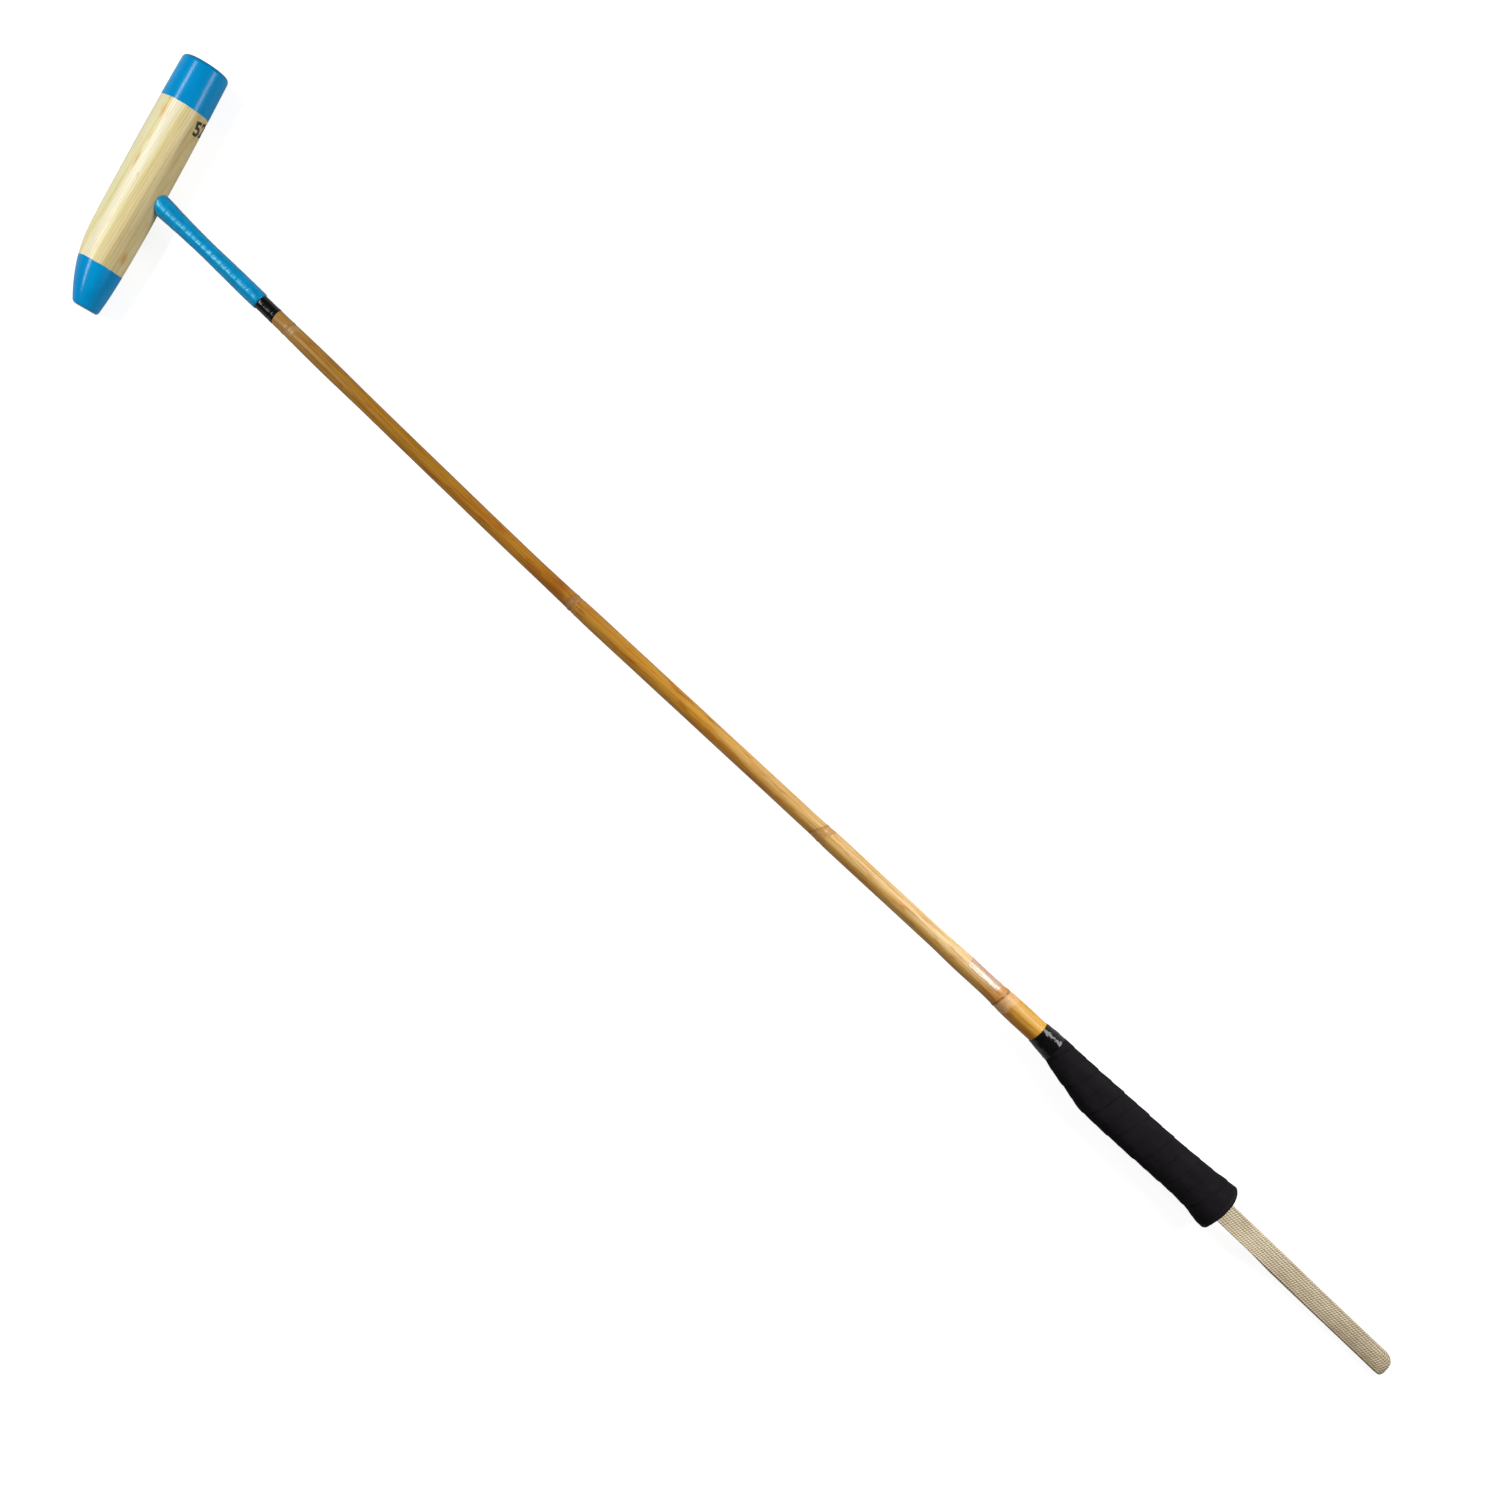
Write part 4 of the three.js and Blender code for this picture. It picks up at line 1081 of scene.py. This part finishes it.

# %% [markdown]
# Lacquered ash under a satin lacquer. The growth rings stand upright in the head and cross it at
# a small angle, so their lines run nearly straight from end to end. One row of colours over the
# distance across the rings gives the broad bands: pale on top, olive lines beside them, and tan
# on the side towards the handle. The pale band on top is partly the wood's own colour and partly
# a painted highlight where the lamp's broad sheen falls. The tan side is partly the wood's own
# tone and partly painted shade on the side that turns away from that lamp. A saw wave over the
# same distance adds the thin ring lines, and soft noise bends both. Fine pores run along the
# grain, with a few orange flecks of gum.

# %% Wood finish
RING_STEP = 2.3
RING_MIDDLE = 127.0
RING_SLOPE = 0.05
BAND_REACH = 24
GUM_HALF_WIDTH = 1.5
pore = ((16, 0.5, 0.5), 4, (3, 7, 1))
# Bands across the rings. The pale band near 0 is partly painted highlight, and the tan from 14 to 20 is partly
# painted shade.
bands_sheen_and_shade = [
    (-24, (220, 214, 182)), (-17, (228, 222, 184)), (-12, (232, 227, 184)), (-9.7, (222, 211, 154)),
    (-7.6, (236, 226, 178)), (-5.2, (240, 233, 203)), (-2.5, (241, 236, 214)), (0.5, (240, 235, 210)),
    (2.6, (240, 235, 201)), (4.2, (238, 232, 188)), (5.8, (222, 213, 158)), (8.0, (229, 218, 168)),
    (10.7, (236, 223, 182)), (12.6, (230, 216, 170)), (14.2, (212, 198, 150)), (16, (206, 192, 146)),
    (20, (220, 206, 162)), (24, (232, 220, 182)),
]
# Each fleck of gum: its place along the head and across the rings, and half its length.
gum_flecks = [(54, -5.2, 9), (40, -5.4, 6), (102, -5.4, 11), (182, 20.0, 8)]

head_finish, tree = new_finish("lacquered_ash", Roughness=0.36, Specular_IOR_Level=0.3)
grain_way, side, _ = own_axes(tree)
drift = patches(tree, (120, 14, 14), 2, 0.2, 0.8, -0.9, 0.9)
waver = patches(tree, (34, 4, 4), 3, 0.2, 0.8, -0.45, 0.45)
sloped = maths(tree, "MULTIPLY", maths(tree, "SUBTRACT", grain_way, RING_MIDDLE), RING_SLOPE)
bent = maths(tree, "ADD", maths(tree, "ADD", side, sloped), maths(tree, "ADD", drift, waver))
stops = [((place + BAND_REACH) / (2 * BAND_REACH), colour) for place, colour in bands_sheen_and_shade]
colour = ramp(tree, steps(tree, bent, -BAND_REACH, BAND_REACH), *stops)
ring = maths(tree, "FRACT", maths(tree, "DIVIDE", bent, RING_STEP))
ring_line = ramp(tree, ring, (0.0, 1.0), (0.12, 0.2), (0.3, 0.0), (0.7, 0.1), (0.95, 0.8), (1.0, 1.0))
ring_amount = patches(tree, (50, 5, 5), 2, 0.35, 0.65, 0.2, 1, (4, 4, 2))
ring_amount = maths(tree, "MULTIPLY", ring_amount, ring_line)
colour = paint(tree, ring_amount, colour, (226, 216, 168), "MULTIPLY")
colour = layered(
    tree, colour,
    ((60, 6, 6), 3, (5, 3, 8), 0.45, 0.7, 0.4, (232, 218, 162), "MIX"),
    (*pore, 0.52, 0.75, 0.35, (200, 178, 112), "MIX"),
    ((20, 2.6, 2.6), 2, (9, 2, 5), 0.64, 0.74, 0.6, (224, 172, 96), "MIX"),
)
for gum_at, gum_side, half_length in gum_flecks:
    across = maths(tree, "ADD", maths(tree, "SUBTRACT", side, gum_side), waver)
    across = maths(tree, "MULTIPLY", across, half_length / GUM_HALF_WIDTH)
    spot = add(tree, "CombineXYZ", {0: maths(tree, "SUBTRACT", grain_way, gum_at), 1: across})
    gum = steps(tree, length(tree, spot.outputs[0]), 0.3 * half_length, half_length, 0.85, 0)
    colour = paint(tree, gum, colour, (220, 168, 96))
# Painted shade: the side towards the handle, away from the key lamp, is made warmer and darker.
colour = paint(tree, steps(tree, side, -4, 16), colour, (255, 247, 230), "MULTIPLY")
coat(tree, colour, noise(tree, *pore), 0.03)
give(head_wood, head_finish, "mallet", "head_wood", "head_body")

# %% [markdown]
# Enamel is an even, saturated colour under a hard gloss. A dipped coat varies a little in
# depth. The round at the rim of the heel is painted darker in uneven patches, as painted shade
# along that edge. The ink of the figures is a plain brown black.

# %% Enamel and ink finishes
enamel_finish, tree = new_finish("blue_enamel", Roughness=0.19, Specular_IOR_Level=0.16)
blue = ramp(tree, noise(tree, (40, 14, 14), 3), (0.3, (0, 136, 197)), (0.7, (2, 148, 209)))
# A very long size in the first direction leaves only the distance from the axis of the head.
from_axis = length(tree, own_place(tree, (1e6, 1, 1)))
# Painted shade: a dark, patchy line round the rounded rim of the heel.
rim = steps(tree, own_axes(tree)[0], 0.8, 3.4, 1, 0)
rim = maths(tree, "MULTIPLY", rim, steps(tree, from_axis, 18.5, 22.0))
rim_painted_shade = maths(tree, "MULTIPLY", rim, patches(tree, (3, 6, 6), 4, 0.35, 0.6, 0.45, 1))
coat(tree, paint(tree, rim_painted_shade, blue, (6, 40, 66)), noise(tree, (7, 7, 7), 2), 0.05)
give(enamel_heel, enamel_finish, "mallet", "head_enamel")
give(enamel_toe, enamel_finish, "mallet", "head_enamel")

ink_finish, tree = new_finish("brown_ink", Roughness=0.4)
coat(tree, ramp(tree, noise(tree, (2, 2, 2), 3), (0.35, (26, 20, 18)), (0.7, (46, 36, 30))))
give(size_figures, ink_finish, "mallet", "head_enamel")

# %% [markdown]
# Cane changes colour along its length: olive tan at the head, a deep orange brown up to the
# second node, gold after it, and straw towards the handle. There the side away from the handle
# lamp is made darker and more amber. This is painted shade, and it also stands for the cane's
# own deeper tone on that side. One row of colours follows the distance along the cane, and noise
# drawn out along the cane gives the fibres and stains. Each node has a pinkish scar and a dark ring.

# %% Cane finish
COLOURS_FROM = 150
COLOURS_TO = 1100
SCAR_SOFTNESS = 0.8
fibre = ((42, 0.6, 0.6), 3, NO_SHIFT)
cane_colours = [
    (160, (172, 130, 62)), (215, (168, 124, 46)), (280, (170, 119, 22)), (345, (168, 118, 22)),
    (400, (174, 119, 28)), (455, (184, 127, 36)), (489, (168, 106, 22)), (508, (160, 96, 16)),
    (526, (187, 133, 48)), (600, (195, 140, 46)), (669, (200, 149, 52)), (715, (210, 163, 84)),
    (760, (210, 168, 98)), (805, (214, 174, 106)), (850, (216, 181, 118)), (930, (220, 188, 130)),
    (985, (222, 190, 134)), (1015, (212, 174, 112)), (1026, (190, 130, 72)), (1046, (206, 162, 76)),
    (1076, (204, 156, 56)),
]
# Each node's scar: its middle past the ring, its half width, its strength, its colour, how dark
# the ring is, and how much it slants across the cane.
node_scars = [
    (4.4, 3.8, 0.5, (180, 152, 106), 0.3, 0.3), (-0.2, 3.8, 0.8, (158, 112, 74), 0.35, 0.15),
    (-0.5, 5.2, 0.85, (186, 138, 82), 0.5, 0.5), (6.3, 6.0, 0.8, (212, 170, 120), 0.8, 0.15),
]

cane_finish, tree = new_finish("cane", Roughness=0.36, Specular_IOR_Level=0.3)
distance, round_place, _ = own_axes(tree)
shifted = maths(tree, "ADD", distance, patches(tree, (45, 7, 7), 3, 0.3, 0.7, -14, 14))
stops = [((place - COLOURS_FROM) / (COLOURS_TO - COLOURS_FROM), shade) for place, shade in cane_colours]
colour = ramp(tree, steps(tree, shifted, COLOURS_FROM, COLOURS_TO), *stops)
streak = patches(tree, (70, 3, 3), 3, 0.3, 0.7, -2.2, 2.2, (3, 8, 2))
# Painted shade: past 560 mm, the -Y side, away from the handle lamp, is darker and more amber.
amber_shade_side = steps(tree, maths(tree, "ADD", round_place, streak), -4, 1, 1, 0)
amber_shade_side = maths(tree, "MULTIPLY", amber_shade_side, steps(tree, distance, 560, 740))
colour = paint(tree, amber_shade_side, colour, (238, 216, 160), "MULTIPLY")
colour = layered(
    tree, colour,
    (*fibre, 0.52, 0.74, 0.4, (116, 84, 30), "SCREEN"),
    (*fibre, 0.48, 0.28, 0.8, (190, 140, 92), "MULTIPLY"),
    ((55, 2.2, 2.2), 3, (1, 6, 2), 0.52, 0.68, 0.8, (244, 204, 130), "MULTIPLY"),
    ((20, 4, 4), 3, (4, 1, 8), 0.56, 0.74, 0.6, (206, 140, 84), "MULTIPLY"),
)
ragged = patches(tree, (4, 4, 4), 3, 0.3, 0.7, -1.6, 1.6, (2, 2, 9))
mottle = patches(tree, (3, 2, 2), 3, 0.32, 0.6, 0.45, 1, (7, 4, 1))
for (share, _, _), scar in zip(cane_nodes, node_scars):
    past, half, strength, shade, ring_dark, slant = scar
    middle = share * CANE_REACH + past
    slanted = maths(tree, "SUBTRACT", distance, maths(tree, "MULTIPLY", round_place, slant))
    beside = maths(tree, "SUBTRACT", maths(tree, "ADD", slanted, ragged), middle)
    beside = maths(tree, "ABSOLUTE", beside)
    near = steps(tree, beside, half - SCAR_SOFTNESS, half + SCAR_SOFTNESS, strength, 0)
    colour = paint(tree, maths(tree, "MULTIPLY", near, mottle), colour, shade)
    from_ring = maths(tree, "ABSOLUTE", maths(tree, "SUBTRACT", slanted, middle - half))
    rim = maths(tree, "MULTIPLY", steps(tree, from_ring, 0.3, 1.6, ring_dark, 0), mottle)
    colour = paint(tree, rim, colour, (112, 66, 34))
coat(tree, colour, noise(tree, *fibre), 0.04)
give(cane, cane_finish, "mallet", "cane", "cane_shaft")

# %% [markdown]
# Blue tape under gloss keeps a fine texture that breaks up the highlight, and the tape tints
# the shine cyan. Black tape is the same idea with a smoother face. The label is a film that
# lets the cane show through, pink along one edge. Its pale milky colour is partly its own haze
# and partly a painted highlight of its gloss.

# %% Tape and film finishes
SHINE = (0.4, 1.0, 0.92, 1.0)
binding_finish, tree = new_finish("blue_tape", Roughness=0.27, Specular_IOR_Level=0.5,
                                  Specular_Tint=SHINE)
weft = ((3.6, 1.8, 1.8), 3, NO_SHIFT)
tint = noise(tree, (10, 4, 4), 3, (2, 5, 3))
blue = ramp(tree, tint, (0.3, (0, 126, 181)), (0.7, (0, 142, 200)))
cyan = layered(tree, blue, (*weft, 0.48, 0.72, 0.5, (4, 166, 214), "MIX"))
coat(tree, cyan, noise(tree, *weft), 0.02)
give(neck_binding, binding_finish, "mallet", "blue_tape", "neck_binding")

black_finish, tree = new_finish("black_tape", Roughness=0.18, Specular_IOR_Level=0.36)
crinkle = noise(tree, (4, 3, 3), 3)
coat(tree, ramp(tree, crinkle, (0.3, (7, 6, 7)), (0.8, (18, 17, 19))), crinkle, 0.05)
give(neck_tape, black_finish, "mallet", "black_tape", "neck_tape")
give(finishing_tape, black_finish, "mallet", "black_tape", "grip_neck_tape")

film_finish, tree = new_finish("label_film", Roughness=0.2, Alpha=0.62)
haze = noise(tree, (9, 3, 3), 2)
# Partly painted highlight: the near-white colour of the film stands in part for its gloss.
milky_and_sheen = ramp(tree, haze, (0.4, (226, 194, 162)), (0.52, (252, 240, 216)), (0.8, (254, 247, 230)))
edge = steps(tree, own_axes(tree)[1], 5.2, 6.6, 0, 0.85)
coat(tree, paint(tree, edge, milky_and_sheen, (206, 164, 138)), haze, 0.04)
give(label, film_finish, "mallet", "label_film", "cane_label")

# %% [markdown]
# The over-grip is a matt black foam with a felted face. Its creases are painted darker, as
# painted shade in the folds. The rubber of the cap is a little smoother.

# %% Grip finishes
grip_finish, tree = new_finish("over_grip", Roughness=0.85, Specular_IOR_Level=0.05)
black = ramp(tree, noise(tree, (20, 9, 9), 2), (0.3, (22, 20, 22)), (0.7, (28, 25, 28)))
crease_shade_line = add(tree, "Attribute", attribute_name="crease").outputs["Fac"]
# Painted shade: the creases are darker than the rest of the strip.
coat(tree, paint(tree, crease_shade_line, black, (12, 11, 13)), noise(tree, (0.9, 0.9, 0.9), 4), 0.15)
give(over_grip, grip_finish, "mallet", "over_grip", "grip_wrap")

cap_finish, tree = new_finish("cap_rubber", Roughness=0.7, Specular_IOR_Level=0.1)
black = ramp(tree, noise(tree, (8, 8, 8), 4), (0.35, (22, 20, 22)), (0.75, (28, 26, 28)))
coat(tree, black, noise(tree, (0.7, 0.7, 0.7), 3), 0.08)
give(butt_cap, cap_finish, "mallet", "cap_rubber", "butt_cap")

# %% [markdown]
# Cotton webbing is cream on top of the floats and darker between them, which paints shade into
# the hollows of the weave. Its colour wanders slowly along the strap, and single yarns differ.
# Towards the fold it is darker along one edge, partly soiled and partly painted shade where that
# edge turns from the light.

# %% Webbing finish
webbing_finish, tree = new_finish("webbing", Roughness=0.95, Specular_IOR_Level=0.1, Sheen_Weight=0.1)
float_height = add(tree, "Attribute", attribute_name="woven").outputs["Fac"]
# Painted shade: darker where the weave is low, between the floats.
colour = ramp(tree, float_height, (0.05, (134, 116, 88)), (0.4, (218, 202, 168)),
              (0.95, (255, 246, 224)))
soil = ((34, 7, 7), 3, NO_SHIFT, 0.42, 0.72, 0.4, (222, 200, 176), "MULTIPLY")
colour = layered(tree, colour, soil)
band_way, band_side, _ = own_axes(tree)
from_fold = maths(tree, "ABSOLUTE", maths(tree, "SUBTRACT", band_way, STRAP_LENGTH / 2))
smudge = patches(tree, (14, 5, 5), 3, 0.3, 0.7, -2.5, 2.5, (6, 1, 4))
# Partly soil and partly painted shade: darker along one edge towards the fold.
soil_and_shade_edge = steps(tree, maths(tree, "ADD", band_side, smudge), -8, 4, 1, 0.05)
soil_and_shade_edge = maths(tree, "MULTIPLY", soil_and_shade_edge, steps(tree, from_fold, 10, 170, 1, 0))
colour = paint(tree, soil_and_shade_edge, colour, (192, 184, 173), "MULTIPLY")
thread = ((5, 0.5, 0.5), 2, NO_SHIFT, 0.4, 0.7, 0.2, (250, 238, 210), "MIX")
coat(tree, layered(tree, colour, thread), noise(tree, (0.35, 0.35, 0.35), 3), 0.06)
give(wrist_strap, webbing_finish, None, "webbing", "wrist_strap", "strap_tail")
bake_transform(wrist_strap)

# %% [markdown]
# Pieces hidden in the handle, and the wedge, keep their CAD shape. They still get real
# finishes: planed wood for the build-up, hardwood for the wedge and steel for the pins. A CAD
# piece has no own places, so these read its place in the frame.

# %% Finishes of the CAD pieces


def planed(name, light, dark):
    """Plain wood with its grain along the cane."""
    material, tree = new_finish(name, Roughness=0.6)
    place = add(tree, "TexCoord").outputs["Object"]
    drawn = add(tree, "Mapping", {"Vector": place, "Scale": (14.0, 420.0, 420.0)}).outputs[0]
    grain = add(tree, "TexNoise", {"Vector": drawn, "Scale": 1.0, "Detail": 4.0}).outputs[0]
    coat(tree, ramp(tree, grain, (0.3, light), (0.7, dark)), grain, 0.05)
    return material


def put_on(material, *nodes):
    """CAD nodes keep their mesh and get a new material."""
    for node in nodes:
        made = frame["nodes"][node]
        made.data.materials.clear()
        made.data.materials.append(material)


pin_finish, tree = new_finish("pin_steel", Metallic=1.0)
place = add(tree, "TexCoord").outputs["Object"]
brushed = add(tree, "TexNoise", {"Vector": place, "Scale": 900.0, "Detail": 3.0}).outputs[0]
coat(tree, ramp(tree, brushed, (0.3, (150, 150, 154)), (0.7, (182, 182, 186))))
dulled = steps(tree, brushed, 0.3, 0.7, 0.3, 0.45)
tree.links.new(dulled, tree.nodes["Principled BSDF"].inputs["Roughness"])
put_on(pin_finish, "strap_pin_near", "strap_pin_far")
put_on(planed("core_wood", (196, 150, 98), (158, 112, 66)),
       "handle_block", "handle_cheek_left", "handle_cheek_right")
put_on(planed("wedge_wood", (206, 164, 112), (168, 122, 74)), "head_wedge")

# %% [markdown]
# The floor is pale and catches a soft shadow. The white of the picture comes from a little
# emission that only the camera, reflections and clear things see, so it lights nothing.

# %% Floor
GROUND = 4.0
FLOOR_PALENESS = 0.38
FLOOR_GLOW = 0.86
GLOW_IN_MIRRORS = 0.2
floor_mesh = bpy.data.meshes.new("floor")
floor_corners = [(-GROUND, -GROUND, 0), (GROUND, -GROUND, 0), (GROUND, GROUND, 0), (-GROUND, GROUND, 0)]
floor_mesh.from_pydata(floor_corners, [], [(0, 1, 2, 3)])
floor = bpy.data.objects.new("floor", floor_mesh)
bpy.context.scene.collection.objects.link(floor)


def shows_white(tree, mirrored=1.0):
    """1 for rays from the camera and through clear things, and the given part of it for
    reflections."""
    path = add(tree, "LightPath")
    glossy = maths(tree, "MULTIPLY", path.outputs["Is Glossy Ray"], mirrored)
    first = maths(tree, "MAXIMUM", path.outputs["Is Camera Ray"], glossy)
    return maths(tree, "MAXIMUM", first, path.outputs["Is Transmission Ray"])


floor_finish = bpy.data.materials.new("floor")
floor_finish.use_nodes = True
tree = floor_finish.node_tree
tree.nodes.remove(tree.nodes["Principled BSDF"])
diffuse = add(tree, "BsdfDiffuse", {"Color": (FLOOR_PALENESS, FLOOR_PALENESS, FLOOR_PALENESS, 1.0)})
strength = maths(tree, "MULTIPLY", shows_white(tree, GLOW_IN_MIRRORS), FLOOR_GLOW)
glow = add(tree, "Emission", {"Strength": strength})
both = add(tree, "AddShader", {0: diffuse.outputs[0], 1: glow.outputs[0]})
tree.links.new(both.outputs[0], tree.nodes["Material Output"].inputs["Surface"])
floor_mesh.materials.append(floor_finish)
print("floor", 2 * GROUND, "m wide")

# %% [markdown]
# The world is the studio: even light for every matt surface, and white behind the object. A
# gloss that faces up mirrors the ceiling, and a real ceiling is dark beside the lamps. So what
# reflections see is white near the ground and darkens overhead, which keeps blacks and
# enamel deep.

# %% World
AMBIENT = 0.18
HORIZON = 0.7
CEILING = 0.05
world = bpy.data.worlds.new("studio")
bpy.context.scene.world = world
world.use_nodes = True
tree = world.node_tree
direction = add(tree, "TexCoord").outputs["Generated"]
upward = add(tree, "SeparateXYZ", {0: direction}).outputs[2]
mirrored = steps(tree, upward, 0.0, 0.4, HORIZON, CEILING)
strength = steps(tree, shows_white(tree), 0, 1, AMBIENT, 1.0)
glossy = add(tree, "LightPath").outputs["Is Glossy Ray"]
strength = add(tree, "Mix", {0: glossy, 2: strength, 3: mirrored}, data_type="FLOAT").outputs[0]
background = tree.nodes["Background"]
tree.links.new(strength, background.inputs["Strength"])
background.inputs["Color"].default_value = (1.0, 1.0, 1.0, 1.0)
print("ambient", AMBIENT)

# %% [markdown]
# Two soft boxes light the mallet. One stands beyond the head and draws the bright line on the
# enamel. The other stands beside the handle, lights the cane from one side, and draws the
# second, fainter line on the enamel. Each is a plain area lamp.

# %% Lights


def soft_box(name, place, target, size, power):
    """An area lamp at a place, turned to face a target. size is its level width, and its
    depth in the upright plane through the target."""
    data = bpy.data.lights.new(name, "AREA")
    data.shape = "RECTANGLE"
    data.size, data.size_y = size
    data.energy = power
    lamp = bpy.data.objects.new(name, data)
    lamp.location = place
    lamp.rotation_euler = (Vector(target) - Vector(place)).to_track_quat("-Z", "Y").to_euler()
    lamp.visible_camera = False
    bpy.context.scene.collection.objects.link(lamp)
    print(name, power, "W")


soft_box("box_head", (-1.349, -0.167, 1.2), tuple(cross / MM), (1.0, 0.27), 16.5)
soft_box("box_handle", (0.46, 0.62, 0.5), (0.0, 0.0, 0.02), (0.75, 0.34), 8.4)
